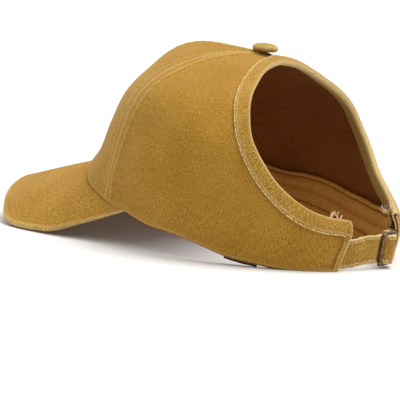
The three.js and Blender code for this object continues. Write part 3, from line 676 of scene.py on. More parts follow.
def satinTape(name):
    # Black woven satin tape: smooth, with a faint gloss along its floats
    material, tree, shader = startMaterial(name, {
        "Roughness": 0.48, "Specular IOR Level": 0.4, "Sheen Weight": 0.15})
    cloth = addNode(tree, "ShaderNodeUVMap", uv_map="cloth")
    floats = addNode(tree, "ShaderNodeTexNoise", {
        "Vector": addNode(tree, "ShaderNodeMapping", {"Vector": cloth, "Scale": (0.25, 2.2, 1)}),
        "Scale": 1.0, "Detail": 2.0})
    share = addNode(tree, "ShaderNodeMapRange", {"Value": floats, "From Min": 0.3, "From Max": 0.7})
    tree.links.new(
        addNode(tree, "ShaderNodeMix", {0: share, 6: toLinear("100e0f"), 7: toLinear("262223")}, output=2,
                data_type="RGBA"),
        shader.inputs["Base Color"])
    relief = addNode(tree, "ShaderNodeBump", {"Height": floats, "Strength": 0.3, "Distance": 0.0002})
    tree.links.new(relief, shader.inputs["Normal"])
    return material


# Panels, peak and tab share one cloth; the hem and strap are cut across its grain and look a little paler
panelTwill = sewnTwill("washed_twill", "724709", "996e1b", "b08431", "c8a65a", "dcc284")
hemTwill = sewnTwill("washed_twill_across", "6c430a", "986e20", "b38d40", "d6ba80", "e4cc96", slant=58)
# The panels' inner face is the same twill painted darker and redder, as painted shade inside the crown; it is
# not a lining
insideTwillPaintedShade = sewnTwill("twill_inner_face_painted_shade", "603010", "7a3f15", "8e4e1e", "a0602a", "a0622c", sheen=0.05)
bandCotton = sewnTwill("quilted_cotton", "8c4e0b", "ad6a14", "c2842c", "d49e4c", "dcb270",
                       lineContrast=0.05, slant=90, sheen=0.05)
paleThread = sewingThread("ochre_thread", "caa25a", "e8d09c")
faintThread = sewingThread("ochre_thread_worn", "b48a38", "cfae62")
peakThread = sewingThread("ochre_thread_faded", "a67c2c", "bc9242")
rustThread = sewingThread("rust_thread", "8c5222", "a86e32")
rawCotton = sewingThread("raw_cotton_ends", "d8c294", "f2e6c8")
brass = agedBrass("antique_brass")
tape = satinTape("black_satin_tape")
print("materials ready")


# Crown panels

def weltRelief(distance, along, stitch):
    # Seam allowances raise the cloth beside a seam; the row of stitches dents and puckers it
    edge = stitch + welt["beyond"]
    raised = welt["rise"] * (1 - smoothStep(distance, edge - 0.6, edge + 1))
    beat = 0.5 + 0.5 * np.sin(along * 2 * math.pi / 6.1 + 1.7 * np.sin(along / 9.0))
    dent = welt["dent"] * hump(distance - stitch, 0.6) * (0.75 + 0.4 * beat)
    pucker = 0.22 * (beat - 0.5) * hump(distance - stitch, 2.6)
    return raised - dent + pucker


def panelSolid(spots, welts, endShare, flare=0.0):
    # Outer face lifted by its relief, inner face a cloth's thickness below, all edges rounded
    base = crownSurface(spots)
    normal = crownNormal(spots)
    across, down = lengthAlong(base, 1), lengthAlong(base, 0)
    toEdge = np.minimum.reduce([across, across[:, -1:] - across, down, down[-1:] - down])
    fallen = roundOff(toEdge, crown["cloth"] / 2)
    row = rowOf(spots)
    seams = [(distance(across), readTable(welt[kind], row)) for distance, kind in welts]
    relief = sum(weltRelief(distance, down, stitch) for distance, stitch in seams)
    relief = relief + flare * hump(down, 10)
    fromEnd = across[:, -1:] - across
    fold = endFold["rise"] * (1 - smoothStep(fromEnd, endFold["width"] - 0.8, endFold["width"] + 0.6))
    fold = fold - endFold["dent"] * hump(fromEnd - endFold["width"], 0.55)
    relief = relief + fold * endShare
    outer = base + normal * (relief - fallen)[..., None]
    inner = base - normal * (crown["cloth"] - fallen)[..., None]
    outer[..., 2], inner[..., 2] = np.maximum(outer[..., 2], 0.02), np.maximum(inner[..., 2], 0.02)
    worn = 0.55 * hump(toEdge, 0.7) + 0.15 * hump(down, 2.2)
    for distance, stitch in seams:
        worn = worn + 0.18 * hump(distance - 0.9, 0.8) + 0.30 * hump(distance - stitch + 0.9, 0.7)
    worn = worn + endShare * (0.95 * hump(fromEnd, 1.2) + 0.35 * hump(fromEnd - 3.4, 0.7))
    uv = np.stack([across, down], -1)
    return slab(outer, inner), uv, worn


def frontSpots():
    # Columns run from centre seam to side seam, rows from the lower edge to the button's hole
    u, v = np.meshgrid(spread(60, 1.0), spread(126, 1.0))
    bottomRow, upperRow = edgeRow(seamTurn), holeRow(seamTurn)
    row = lerp(bottomRow, upperRow, v)
    half = -welt["overlap"]
    turn = lerp(turnOf(besides(spotAt(row, 0.0), half)), turnOf(seamSpots(row, -half)), u)
    return spotAt(lerp(edgeRow(turn), holeRow(turn), v), turn)


def sideSpots():
    # Columns run from the side seam to the rear outline, which is the end of the crown, then the
    # opening's edge, then the seam above it. Rows are shared out along it as rearParts says.
    u, v = np.meshgrid(spread(150, 1.4), spread(190, 1.4))
    bottomRow, upperRow = edgeRow(seamTurn), holeRow(seamTurn)
    front = seamSpots(lerp(bottomRow, upperRow, v), -welt["overlap"])
    endPart, edgePart = rearParts["end"], rearParts["edge"]
    rise = v[:, 0] * sum(rearParts.values())
    foot = spotAt(edgeRow(footTurn), footTurn)
    corner = hemSpots(0.0, foldRadius)
    ending = foot + (corner - foot) * np.clip(rise / endPart, 0, 1)[:, None]
    edge = hemSpots(np.clip((rise - endPart) / (2 * edgePart), 0, 0.5), foldRadius)
    aboveEdge = np.clip(rise - endPart - edgePart, 0, 1)
    top = spotAt(lerp(rowOf(edge[-1]), holeRow(math.pi), aboveEdge), math.pi)
    onEdge = (rise < endPart + edgePart)[:, None]
    rear = np.where((rise < endPart)[:, None], ending, np.where(onEdge, edge, top))
    rearTurn = np.arctan2(np.abs(rear[:, 0]), -rear[:, 1])
    rearTurn = np.minimum(rearTurn, math.pi)
    bend = edgeRow(lerp(seamTurn, footTurn, u)) - lerp(bottomRow, rowOf(rear[0]), u)
    row = lerp(rowOf(front), rowOf(rear)[:, None], u) + bend * (1 - v) ** 3
    return spotAt(row, lerp(turnOf(front), rearTurn[:, None], u)), smoothStep(rise, 4.4, 3.9)[:, None]


foldRadius = (crown["cloth"] + 2 * (hem["gap"] + hem["cloth"])) / 2
# Outer faces and edges take the twill, inner faces its copy painted darker as shade
panelMaterials = [panelTwill, insideTwillPaintedShade]


def buildPanels():
    # Front panels from one grid, side panels from another; the right ones are mirrored
    spots = frontSpots()
    welts = [(lambda across: across, "centre"), (lambda across: across[:, -1:] - across, "stitch")]
    flare = 2.4 * smoothStep(turnOf(spots), math.radians(58), math.radians(38))
    solid, uv, worn = panelSolid(spots, welts, 0.0, flare)
    addPiece("front_left_twill", solid, panelMaterials, "front_panel_left", uv, worn)
    addPiece("front_right_twill", mirrored(solid), panelMaterials, "front_panel_right",
             uv + 37, worn)
    spots, endShare = sideSpots()
    solid, uv, worn = panelSolid(spots, [(lambda across: across, "stitch")], endShare)
    addPiece("side_left_twill", solid, panelMaterials, "side_panel_left", uv + 91, worn)
    addPiece("side_right_twill", mirrored(solid), panelMaterials, "side_panel_right", uv + 173, worn)


buildPanels()
print("panels sewn")


# Hem round the opening: a strip folded over it, stitched down near the strip's own edge

def hemNarrowing(share):
    # The strip is sewn narrower over the top than at its ends
    return np.interp(np.minimum(share, 1 - share), hem["shares"], hem["narrowing"])


def hemRelief(inward, along, fromEnd):
    # Puffed between the fold and the stitches, dented under them, with small wrinkles across
    across = np.clip(inward / hem["stitch"], 0, 1)
    puff = hem["puff"] * np.sin(math.pi * across) ** 0.8
    wrinkle = np.sin(along * 2 * math.pi / 7.3 + 2.2 * np.sin(along / 11)) * np.sin(along / 17 + 1)
    wrinkle = 0.16 * wrinkle * hump(inward - hem["stitch"] + 1.5, 3.2)
    dent = 0.5 * hump(inward - hem["stitch"], 0.55)
    fold = 0.3 * (1 - smoothStep(fromEnd, 4, 5.6)) - 0.55 * hump(fromEnd - endFold["width"], 0.6)
    return puff + wrinkle - dent + fold


def hemSection():
    # Way round the fold from the outer leg's edge to the inner one: distance inwards, and out
    leg = np.array([
        11.5, 11.38, 11.2, 11, 10.8, 10.6, 10.4, 10.2, 10, 9.8, 9.6, 9.3, 8.9, 8.4, 7.8, 7, 6.2, 5.4,
        4.6, 3.9, 3.2, 2.7])
    angle = np.linspace(0, math.pi, 17)
    inward = np.concatenate([leg, foldRadius * (1 - np.sin(angle)), leg[::-1]])
    angles = np.concatenate([leg * 0, angle, leg * 0 + math.pi])
    return inward, angles


def buildHem():
    # The section is carried along the opening, off the panel's middle by the cosine of its angle
    inward, angle = hemSection()
    share = spread(openingLength, 0.85)
    u, v = np.meshgrid(inward, share)
    angles = np.broadcast_to(angle, u.shape)
    outline = hemSpots(v, u * lerp(1, hemNarrowing(v), smoothStep(u, foldRadius, hem["stitch"])))
    middle = crownSurface(outline) - crownNormal(outline) * (crown["cloth"] / 2)
    normal = crownNormal(outline)
    innerInward = np.where(
        (angle > 0) & (angle < math.pi), foldRadius - (foldRadius - hem["cloth"]) * np.sin(angle), inward)
    innerInward = np.broadcast_to(innerInward, u.shape)
    narrowing = lerp(1, hemNarrowing(v), smoothStep(innerInward, foldRadius, hem["stitch"]))
    under = hemSpots(v, innerInward * narrowing)
    underMiddle = crownSurface(under) - crownNormal(under) * (crown["cloth"] / 2)
    underNormal = crownNormal(under)
    along = v * openingLength
    fromEnd = np.minimum(along, openingLength - along)
    fallen = roundOff(np.minimum(hem["width"] - u, fromEnd), hem["cloth"] / 2)
    facing = np.clip(np.cos(angles) * 1.5 + 0.6, 0, 1)
    relief = hemRelief(u, along, fromEnd) * facing
    outer = middle + normal * ((foldRadius + relief - fallen) * np.cos(angles))[..., None]
    inner = underMiddle + underNormal * ((foldRadius - hem["cloth"] + fallen) * np.cos(angles))[..., None]
    foldShare = np.where((angle > 0) & (angle < math.pi), np.sin(angle), 0)
    worn = 0.85 * foldShare ** 2 + 0.30 * hump(hem["width"] - u, 0.4) * facing
    worn = worn + 0.30 * hump(u - hem["stitch"] + 1.4, 0.8) * facing + 0.8 * hump(fromEnd, 1.1)
    uv = np.stack([along, np.broadcast_to(lengthAlong(np.stack([inward, angle * 2.2], -1), 0), u.shape)], -1)
    addPiece("opening_hem_twill", slab(outer, inner), [hemTwill], "opening_hem", uv, worn)


buildHem()
print("hem folded")


# Peak: board between two layers of twill, bound at its edge and quilted in rows

def peakOutline(turns):
    # Outer edge seen from above: width and reach read from tables on the way to the tip
    jointEnd = crownSurface(spotAt(edgeRow(peakTurn), peakTurn))
    position = (1 - np.abs(turns) / peakTurn) * (len(peak["reach"]) - 1)
    x = np.sign(turns) * jointEnd[0] * readTable(peak["width"], position)
    tip = peakRootLine - peak["length"] - peak["edgeCloth"]
    y = lerp(jointEnd[1], tip, readTable(peak["reach"], position))
    return np.stack([x, y], -1)


def peakThickness(turns):
    # Thin at the two ends of the root, full after a quarter of the way to the middle
    thinning = smoothStep(1 - np.abs(turns) / peakTurn, 0, peak["thinning"])
    return lerp(peak["endThickness"], peak["thickness"], thinning)


def peakSwell(points):
    # Slow unevenness of the quilted peak, a quarter of a millimetre high
    return 0.25 * waves(points, 34, 8)


def buildPeak():
    # Grid from outer edge to root: top lifted by binding and grooves, underside a thickness below
    even = np.linspace(-1, 1, 321)
    turns = peakTurn * np.sign(even) * np.abs(even) ** 0.9
    steps = spread(60, 1.0, high=False)
    v, turn = np.meshgrid(steps, turns, indexing="ij")
    cloth = crown["cloth"]
    rootSpots = findSpots(turns, cloth, lambda p: p[..., 2] > peakTop(p[..., 0], p[..., 1]))
    root = crownPoint(rootSpots, cloth)[:, :2]
    edge = peakOutline(turns)
    xy = lerp(edge[None], root[None], v[..., None])
    x, y = xy[..., 0], xy[..., 1]
    normal = unit(peakNormal(x, y))
    thickness = peakThickness(turn)
    top = np.stack([x, y, peakTop(x, y)], -1)
    inside = lengthAlong(top, 0)
    fallen = roundOff(inside, 1.0) / 1.0 * thickness / 2
    binding = 0.15 * (1 - smoothStep(inside, peak["binding"] - 0.7, peak["binding"] + 0.3))
    groove = 0.22 * hump(inside - peak["binding"], 0.5)
    rows = inside - peak["binding"]
    for number in range(1, 9):
        groove = groove + 0.14 * hump(rows - number * peak["rowPitch"], 0.6) * smoothStep(thickness, 1.5, 3.0)
    soft = peakSwell(top)
    upper = top + normal * (binding - groove - fallen + soft)[..., None]
    lower = top + normal * (fallen - thickness + soft)[..., None]
    lower[..., 2] = np.maximum(lower[..., 2], 0.02)
    upper[..., 2] = np.maximum(upper[..., 2], 0.05)
    worn = 0.55 * hump(inside, 1.3) + 0.16 * (1 - smoothStep(inside, peak["binding"] - 1.2, peak["binding"]))
    uv = np.stack([x + 200, y * 1.08 + 300], -1)
    addPiece("peak_twill", slab(upper, lower), [panelTwill, panelTwill], "peak", uv, worn)
    rowsToSew = []
    for number in range(0, 8):
        depth = peak["binding"] + number * peak["rowPitch"]
        columns = np.where(inside[-1] > depth + 1.5)[0]
        if len(columns) < 12:
            continue
        columns = columns[2:-2]
        share = np.array([np.interp(depth, inside[:, column], steps) for column in columns])
        points = lerp(edge[columns], root[columns], share[:, None])
        path = np.stack([points[:, 0], points[:, 1], peakTop(points[:, 0], points[:, 1])], -1)
        pathNormal = unit(peakNormal(path[:, 0], path[:, 1]))
        path = path + pathNormal * (peakSwell(path) - 0.22)[:, None]
        rowsToSew.append(stitchRow(path, pathNormal, radius=0.16, seed=40 + number))
    addPiece("peak_stitches", joinSolids(rowsToSew), [peakThread])


buildPeak()
print("peak quilted")


# Sweatband: quilted cotton round the inside, with a beaded upper edge

sweat = {
    "height": 28.0, "drop": 1.2, "endTurn": 148.0, "cloth": 1.5, "rib": 2.3, "bead": 1.6, "slant": 6.0,
    "radius": 88,
    "band": [0.76, 0.76, 0.80, 1.00, 1.00],
    "rise": [0.00, 0.15, 0.34, 0.50, 0.67, 0.84, 1.00],
    "standOff": [0.0, 0.5, 1.0, 1.0, 1.0, 1.0, 1.0],
}
hemRoom = hem["gap"] + hem["cloth"]


def sweatBottom(turns, drop):
    # Lower edge of the band: a drop below the panels' edge, never under the floor
    return np.maximum(crownSurface(spotAt(edgeRow(turns), turns))[..., 2] - drop, 0)


def sweatLevel(turns, rise):
    # Height at a share of the band, which is lower in front than at the sides
    place = np.abs(turns) / math.radians(sweat["endTurn"]) * (len(sweat["band"]) - 1)
    return sweatBottom(turns, sweat["drop"]) + rise * readTable(sweat["band"], place) * sweat["height"]


def sweatDepth(rise):
    # Depth under the crown's surface: cloth and gap, then clear of the hem from a third up
    standOff = np.interp(rise, sweat["rise"], sweat["standOff"])
    return crown["cloth"] + crown["seamGap"] + standOff * (hemRoom + crown["seamGap"])


def wallPoints(turns, heights, depths):
    # Points at given turns and heights, a depth under the crown's surface
    return crownPoint(findSpots(turns, depths, lambda p: p[..., 2] > heights), depths)


def buildSweatband():
    # Inner face stands off by cloth, ribs and bead; the ribs are three humps of a sine up the band
    end = math.radians(sweat["endTurn"])
    turns = lerp(-end, end, spread(330, 1.3))
    rises = np.concatenate([
        [0, 0.008, 0.02, 0.04], np.linspace(0.06, 0.30, 9), np.linspace(0.315, 0.35, 6),
        np.linspace(0.37, 0.62, 9), np.linspace(0.64, 0.68, 6), np.linspace(0.70, 0.87, 6),
        np.linspace(0.885, 0.91, 5), np.linspace(0.925, 0.985, 6), [0.995, 1.0]])
    turn, rise = np.meshgrid(turns, rises)
    turn = turn * (1 - sweat["slant"] * (1 - rise) / (sweat["radius"] * end))  # the raw ends slope
    under = sweatDepth(rise)
    along = turn * sweat["radius"]
    ribs = np.abs(np.sin(np.clip(rise / 0.90, 0, 1) * 3 * math.pi)) ** 0.55
    beat = np.sin(along * 2 * math.pi / 8.3 + 2 * np.sin(along / 13)) * np.sin(along / 19)
    ribs = sweat["rib"] * ribs * (1 + 0.16 * beat)
    bead = sweat["bead"] * np.sqrt(np.clip(1 - ((rise - 0.955) / 0.048) ** 2, 0, 1)) * (rise > 0.905)
    toEnd = np.minimum(turns + end, end - turns)[None] * sweat["radius"] + 0 * rise
    fallen = roundOff(np.minimum(toEnd, rise * 20), 0.75)
    heights = sweatLevel(turn, rise) + 0.5 * np.sin(along / 21 + 1.3) * rise
    depth = under + sweat["cloth"] * 0.8 + ribs + bead - fallen
    inner = wallPoints(turn, heights, depth)
    outer = wallPoints(turn, heights, under + fallen)
    worn = 0.45 * hump(rise - 0.97, 0.03) + 0.30 * hump(toEnd, 1.5) + 0.12 * ribs * (rise < 0.9)
    uv = np.stack([along, heights], -1)
    addPiece("sweatband_cotton", slab(inner, outer), [bandCotton], "sweatband", uv, worn)
    # Yarn ends stand out of the raw ends, and out of the seam that shows above the hem's corners
    ends = []
    for column, away in ((-1, 1), (0, -1)):
        corner, below = inner[-3, column], inner[-14, column]
        upward = unit(corner - below)
        aside = unit(inner[-3, column] - inner[-3, column - 3 * away]) * away
        ends.append(looseEnds(corner - upward * 0.8, upward, aside, 15, 6.5, 7.0, seed=50 + away))
        ends.append(looseEnds(lerp(corner, below, 0.5), aside * away, upward, 12, 2.6, 12.0, seed=60 + away))
    for share, number in ((0.024, 6), (0.047, 7), (0.955, 6), (0.978, 5)):
        spots = hemSpots(np.array([share, share + 0.004]), 1.0)
        points = crownPoint(spots, np.full(2, crown["cloth"] + hemRoom + 0.5))
        upward = np.array([0.05, 0.1, 1.0])
        ends.append(looseEnds(points[0] + [0, 0, 1.2], upward, unit(points[1] - points[0]), number, 6.4, 2.6,
                              radius=0.26, seed=70 + number))
    addPiece("frayed_ends", joinSolids(ends), [rawCotton])


label = {"turn": 115.0, "width": 19.0, "drop": 2.8, "cloth": 0.8, "top": 0.34}


def buildLabel():
    # Tape on the band's inner face, from a drop under the rim to a third of the band's height
    middle = crownSurface(spotAt(edgeRow(math.radians(label["turn"])), math.radians(label["turn"])))
    half = label["width"] / 2 / math.hypot(middle[0], middle[1])
    across = spread(label["width"], 0.6)
    u, v = np.meshgrid(across, np.linspace(0, 1, 18))
    turn = math.radians(label["turn"]) + lerp(-half, half, u)
    rise = lerp(0.0, label["top"], v)
    low = sweatBottom(turn, label["drop"])
    heights = lerp(low, sweatLevel(turn, np.full_like(v, label["top"])), v)
    depth = sweatDepth(rise) + sweat["cloth"] + 0.8 + 0.25 * np.sin(u * 7) * (1 - v)
    fallen = roundOff(np.minimum.reduce([u, 1 - u]) * label["width"], label["cloth"] / 2)
    outer = wallPoints(turn, heights, depth + fallen)
    inner = wallPoints(turn, heights, depth + label["cloth"] - fallen)
    uv = np.stack([u * label["width"], heights], -1)
    addPiece("care_label_tape", slab(outer, inner), [tape], "care_label", uv)


buildSweatband()
buildLabel()
print("sweatband quilted")


# Strap, tab and buckle

strap = {
    "width": 17.8, "cloth": 1.2, "tabCloth": 1.0, "endHeight": 9.8, "middleHeight": 12.2, "bulge": 1.5,
    "bulgeStart": 157.0, "bulgeEnd": 172.0, "rootTurn": 150.5, "tabRootTurn": 152.0,
    "along": [-1.70, -1.25, -0.82, -0.46, 0.00, 0.46, 0.82], "over": [0, 0, 0, 0.67, 1, 0.67, 0],
    "tabAlong": [0.00, 0.24, 0.36, 0.54, 0.80], "tabOver": [1.00, 0.87, 0.62, 0.25, 0.02],
}
buckle = {
    "turn": 181.6, "wall": 6.5, "length": 18.0, "bar": 2.5, "endRail": 1.3, "thickness": 2.2, "corner": 2.2,
}
gap = crown["seamGap"]
strapDepth = crown["cloth"] + hemRoom + 2 * gap + strap["cloth"] / 2
barPitch = (buckle["length"] - buckle["bar"]) / 2
barCorner = math.hypot(buckle["bar"], buckle["thickness"]) / 2
strapUnder = -(buckle["thickness"] / 2 + 2 * gap + strap["cloth"] / 2)
tabOver = barCorner + gap + strap["tabCloth"] / 2
strapOver = tabOver + strap["tabCloth"] / 2 + gap + strap["cloth"] / 2
tabUnder = strapUnder - strap["cloth"] / 2 - 2 * gap - strap["tabCloth"] / 2
tabBehind = tabUnder - strap["tabCloth"] - gap
buckleTurn = math.radians(buckle["turn"])


def backShare(turn):
    # 1 across the back, falling to 0 towards the crown's ends: where the strap bulges
    start, end = (math.pi - math.radians(strap[key]) for key in ("bulgeStart", "bulgeEnd"))
    return 1 - smoothStep(np.abs(turn - math.pi), end, start)


def buckleAxes():
    # Middle of the buckle with its directions: along the strap, up and out
    depth = strapDepth + strapUnder - strap["bulge"] * float(backShare(buckleTurn))
    turn = np.array([buckleTurn])
    spot = findSpots(turn, depth, lambda p: p[..., 2] > strap["middleHeight"])
    outward = crownNormal(spot)[0]
    along = unit(np.cross([0.0, 0.0, 1.0], outward))
    return crownPoint(spot, np.array([depth]))[0], along, np.cross(outward, along), outward


buckleOrigin, buckleAlong, buckleUp, buckleOut = buckleAxes()


def inBuckle(along, up, out):
    # Point at distances along the buckle's own directions from its middle
    along, up, out = (np.asarray(value, float)[..., None] for value in np.broadcast_arrays(along, up, out))
    return buckleOrigin + buckleAlong * along + buckleUp * up + buckleOut * out


def wallPairs(turns, depth):
    # Lower and upper edge of a strip that follows the crown's wall
    share = backShare(turns)
    centre = lerp(strap["endHeight"], strap["middleHeight"], share)
    depths = depth - strap["bulge"] * share
    return np.stack([
        wallPoints(turns, centre + side * strap["width"] / 2, depths) for side in (-1, 1)], 1)


def bucklePairs(along, out):
    # Lower and upper edge of a strip that winds through the buckle
    return np.stack([inBuckle(along, side * strap["width"] / 2, out) for side in (-1, 1)], 1)


def centripetal(points, shares):
    # Centripetal Catmull-Rom curve through points, its parameter even from point to point
    ends = np.concatenate([[2 * points[0] - points[1]], points, [2 * points[-1] - points[-2]]])
    position = shares * (len(points) - 1)
    row = np.minimum(position.astype(int), len(points) - 2)
    t = (position - row)[:, None]
    a, b, c, d = (ends[row + step] for step in range(4))
    first, second, third = (
        np.maximum(np.linalg.norm(q - p, axis=-1, keepdims=True) ** 0.5, 1e-4)
        for p, q in ((a, b), (b, c), (c, d)))
    startSlope = ((b - a) / first - (c - a) / (first + second) + (c - b) / second) * second
    endSlope = ((c - b) / second - (d - b) / (second + third) + (d - c) / third) * second
    return (b + startSlope * t + (3 * (c - b) - 2 * startSlope - endSlope) * t**2
            + (2 * (b - c) + startSlope + endSlope) * t**3)


def ribbonSolid(pairs, cloth, steps):
    # Strip of cloth along pairs of points: rounded edges, a little thicker and puckered at its hems
    shares = np.linspace(0, 1, steps)
    low, high = centripetal(pairs[:, 0], shares), centripetal(pairs[:, 1], shares)
    width = float(np.linalg.norm(high - low, axis=-1).mean())
    across = spread(width, 0.8)
    points = lerp(low[:, None], high[:, None], across[None, :, None])
    tangent = unit(np.gradient(low + high, axis=0))
    normal = unit(np.cross(tangent, high - low))[:, None]
    travelled = lengthAlong((low + high) / 2, 0)[:, None]
    fromEdge = np.minimum(across, 1 - across)[None] * width
    beat = np.sin(travelled * 2 * math.pi / 5.4 + 2 * np.sin(travelled / 7) + (across[None] > 0.5) * 2)
    puff = 0.28 * hump(fromEdge - 1.1, 1.0) * (1 + 0.5 * beat) - 0.24 * hump(fromEdge - 2.3, 0.45)
    edgeWave = 0.12 * beat * hump(fromEdge, 1.2)
    fallen = roundOff(fromEdge, 0.8) / 0.8 * cloth / 2
    top = points + normal * (cloth / 2 + puff - fallen)[..., None]
    bottom = points - normal * (cloth / 2 + puff * 0.6 - fallen)[..., None]
    sideways = unit(high - low)[:, None] * (edgeWave * np.sign(across - 0.5))[..., None]
    worn = (0.9 * hump(fromEdge, 1.0) + 0.3 * hump(fromEdge - 1.6, 0.7)) * (1 + 0.15 * beat)
    uv = np.stack([np.broadcast_to(travelled, worn.shape), np.broadcast_to(across * width, worn.shape)], -1)
    return slab(top + sideways, bottom + sideways), uv, worn, (low, high, normal[:, 0])


def edgeStitches(rails, cloth, inset, seed, part):
    # One row of stitches along each hem of a strip, an inset in from its edges
    low, high, normal = (rail[part] for rail in rails)
    rows = []
    for share, number in ((inset / strap["width"], 0), (1 - inset / strap["width"], 1)):
        path = lerp(low, high, share) + normal * cloth / 2
        rows.append(stitchRow(path, normal, radius=0.2, seed=seed + number))
    return rows


def buildStrap():
    # The strap runs wall, buckle's bars, wall; the tab runs wall, round one bar and back
    wallStep, rootTurn = math.radians(buckle["wall"]), math.radians(strap["rootTurn"])
    near = np.linspace(rootTurn, buckleTurn - 2 * wallStep, 4)
    weave = bucklePairs(
        np.array(strap["along"]) * barPitch, lerp(strapUnder, strapOver, np.array(strap["over"])))
    far = np.linspace(buckleTurn + wallStep, 2 * math.pi - rootTurn, 6)
    pairs = np.concatenate([wallPairs(near, strapDepth), weave, wallPairs(far, strapDepth)])
    solid, uv, worn, rails = ribbonSolid(pairs, strap["cloth"], 420)
    addPiece("strap_twill", solid, [hemTwill], "strap", uv, worn)
    rows = edgeStitches(rails, strap["cloth"], 2.3, 70, slice(0, 262))
    tabDepth = strapDepth + strapUnder
    outer = bucklePairs(
        np.array(strap["tabAlong"]) * barPitch, lerp(tabUnder, tabOver, np.array(strap["tabOver"])))
    angles = np.linspace(0, math.pi, 5)[1:]
    loop = bucklePairs(-tabOver * np.sin(angles), tabOver * np.cos(angles))
    inner = bucklePairs(np.array([0.5, 1.0]) * barPitch, lerp(-tabOver, tabBehind, np.array([0.5, 1.0])))
    wall = np.linspace(buckleTurn + wallStep, 2 * math.pi - math.radians(strap["tabRootTurn"]), 6)
    pairs = np.concatenate([
        wallPairs(wall, tabDepth - tabUnder)[::-1], outer[::-1], loop, inner,
        wallPairs(wall, tabDepth - tabBehind)])
    solid, uv, worn, _ = ribbonSolid(pairs, strap["tabCloth"], 420)
    addPiece("buckle_tab_twill", solid, [hemTwill], "buckle_tab", uv + 60, worn)
    addPiece("strap_stitches", joinSolids(rows), [paleThread])


def roundedLoop(halfLength, halfHeight, corner, count):
    # Points and directions round a rectangle with rounded corners
    angles = np.linspace(0, math.pi / 2, 13)
    corners = [(1, 1, 0), (-1, 1, 1), (-1, -1, 2), (1, -1, 3)]
    points = np.concatenate([np.stack([
        x * (halfLength - corner) + corner * np.cos(angles + quarter * math.pi / 2),
        y * (halfHeight - corner) + corner * np.sin(angles + quarter * math.pi / 2)], -1)
        for x, y, quarter in corners])
    closed = np.concatenate([points, points[:1]])
    travelled = lengthAlong(closed, 0)
    at = np.linspace(0, travelled[-1], count, endpoint=False)
    return np.stack([np.interp(at, travelled, closed[:, axis]) for axis in range(2)], -1)


def buildBuckle():
    # Frame: a soft-edged bar section carried round a rounded rectangle; slimmer along its two ends
    halfHeight = strap["width"] / 2 + gap + buckle["endRail"] / 2
    path = roundedLoop(barPitch, halfHeight, buckle["corner"] - 0.5, 200)
    direction = unit(np.roll(path, -1, 0) - np.roll(path, 1, 0))
    outward = np.stack([direction[:, 1], -direction[:, 0]], -1)
    upright = np.abs(direction[:, 1])
    halfWidth = lerp(buckle["endRail"] / 2, buckle["bar"] / 2, smoothStep(upright, 0.2, 0.9))
    angle = np.arange(16) * math.pi / 8
    profileOut = np.sign(np.cos(angle)) * np.abs(np.cos(angle)) ** 0.6
    profileUp = np.sign(np.sin(angle)) * np.abs(np.sin(angle)) ** 0.6
    aside = path[:, None] + outward[:, None] * (profileOut[:, None] * halfWidth[:, None, None])
    thick = np.broadcast_to(profileUp * buckle["thickness"] / 2, aside.shape[:2])
    points = inBuckle(aside[..., 0], aside[..., 1], thick)
    count, sides = points.shape[:2]
    index = np.arange(count * sides).reshape(count, sides)
    nextRing, nextSide = np.roll(index, -1, 0), np.roll(index, -1, 1)
    quads = np.stack([index, nextSide, np.roll(nextSide, -1, 0), nextRing], -1).reshape(-1, 4)
    frameSolid = (points.reshape(-1, 3), [quads], [0])
    heights = np.linspace(-halfHeight, halfHeight, 40)
    barRings = inBuckle(
        np.broadcast_to(profileOut * buckle["bar"] / 2, (40, 16)), heights[:, None],
        np.broadcast_to(profileUp * buckle["thickness"] / 2 * 0.9, (40, 16)))
    edges = np.abs(profileOut * profileUp)
    worn = np.concatenate([np.broadcast_to(edges * 1.2, (count, 16)).ravel(), np.tile(edges, 40), [0, 0]])
    addPiece("buckle_brass", joinSolids([frameSolid, tube(barRings)]), [brass], "buckle",
             worn=np.clip(worn, 0, 1))


buildStrap()
buildBuckle()
print("strap threaded")


# Button: cloth drawn over a domed metal shell

def buildButton():
    # Profile turned round its axis, pleated below, tilted and set on the button's point
    seat = hemRoom + gap
    profile = np.array([
        (0.0, -3.3), (1.6, -3.3), (1.6, -0.8), (3.5, -0.9), (5.6, -0.85), (6.8, -0.6), (7.5, -0.1),
        (7.9, 0.6), (8.0, 1.4), (7.85, 2.1), (7.4, 2.7), (6.6, 3.2), (5.5, 3.6), (4.2, 3.9), (2.8, 4.1),
        (1.4, 4.2), (0.0, 4.2)])
    shares = np.linspace(0, 1, 74)
    section = centripetal(np.column_stack([profile, np.zeros(len(profile))]), shares)[:, :2]
    section[:, 0] = np.maximum(section[:, 0], 0)
    angles = np.linspace(0, 2 * math.pi, 97)[:-1]
    radius = section[:, :1] * np.ones(96)
    height = section[:, 1:] * np.ones(96)
    under = smoothStep(height, 0.8, -0.6) * smoothStep(radius, 1.7, 3.0)
    pleats = np.sin(angles * 17 + 0.8 * np.sin(angles * 3)) * under * 0.16
    radius = radius * (1 + pleats * 0.25)
    height = height + pleats + 0.08 * np.sin(angles * 2 + 1) * smoothStep(radius, 2, 7)
    tilt = math.radians(crown["tilt"] - topButton["levelled"])  # sewn on nearly level
    local = np.stack([radius * np.cos(angles), radius * np.sin(angles), seat + height], -1)
    points = np.stack([
        local[..., 0],
        local[..., 1] * math.cos(tilt) + local[..., 2] * math.sin(tilt),
        local[..., 2] * math.cos(tilt) - local[..., 1] * math.sin(tilt)], -1) + buttonPoint
    worn = 0.65 * hump(height - 1.9, 1.0) * (radius > 6) + 0.25 * smoothStep(height, 3, 4.6)
    uv = np.stack([local[..., 0], local[..., 1]], -1)
    addPiece("top_button_twill", tube(points[1:-1]), [hemTwill], "top_button",
             np.concatenate([uv[1:-1].reshape(-1, 2), [[0, 0], [0, 0]]]),
             np.concatenate([worn[1:-1].ravel(), [0, 0.25]]))


buildButton()
print("button covered")


# Topstitching on the crown and hem

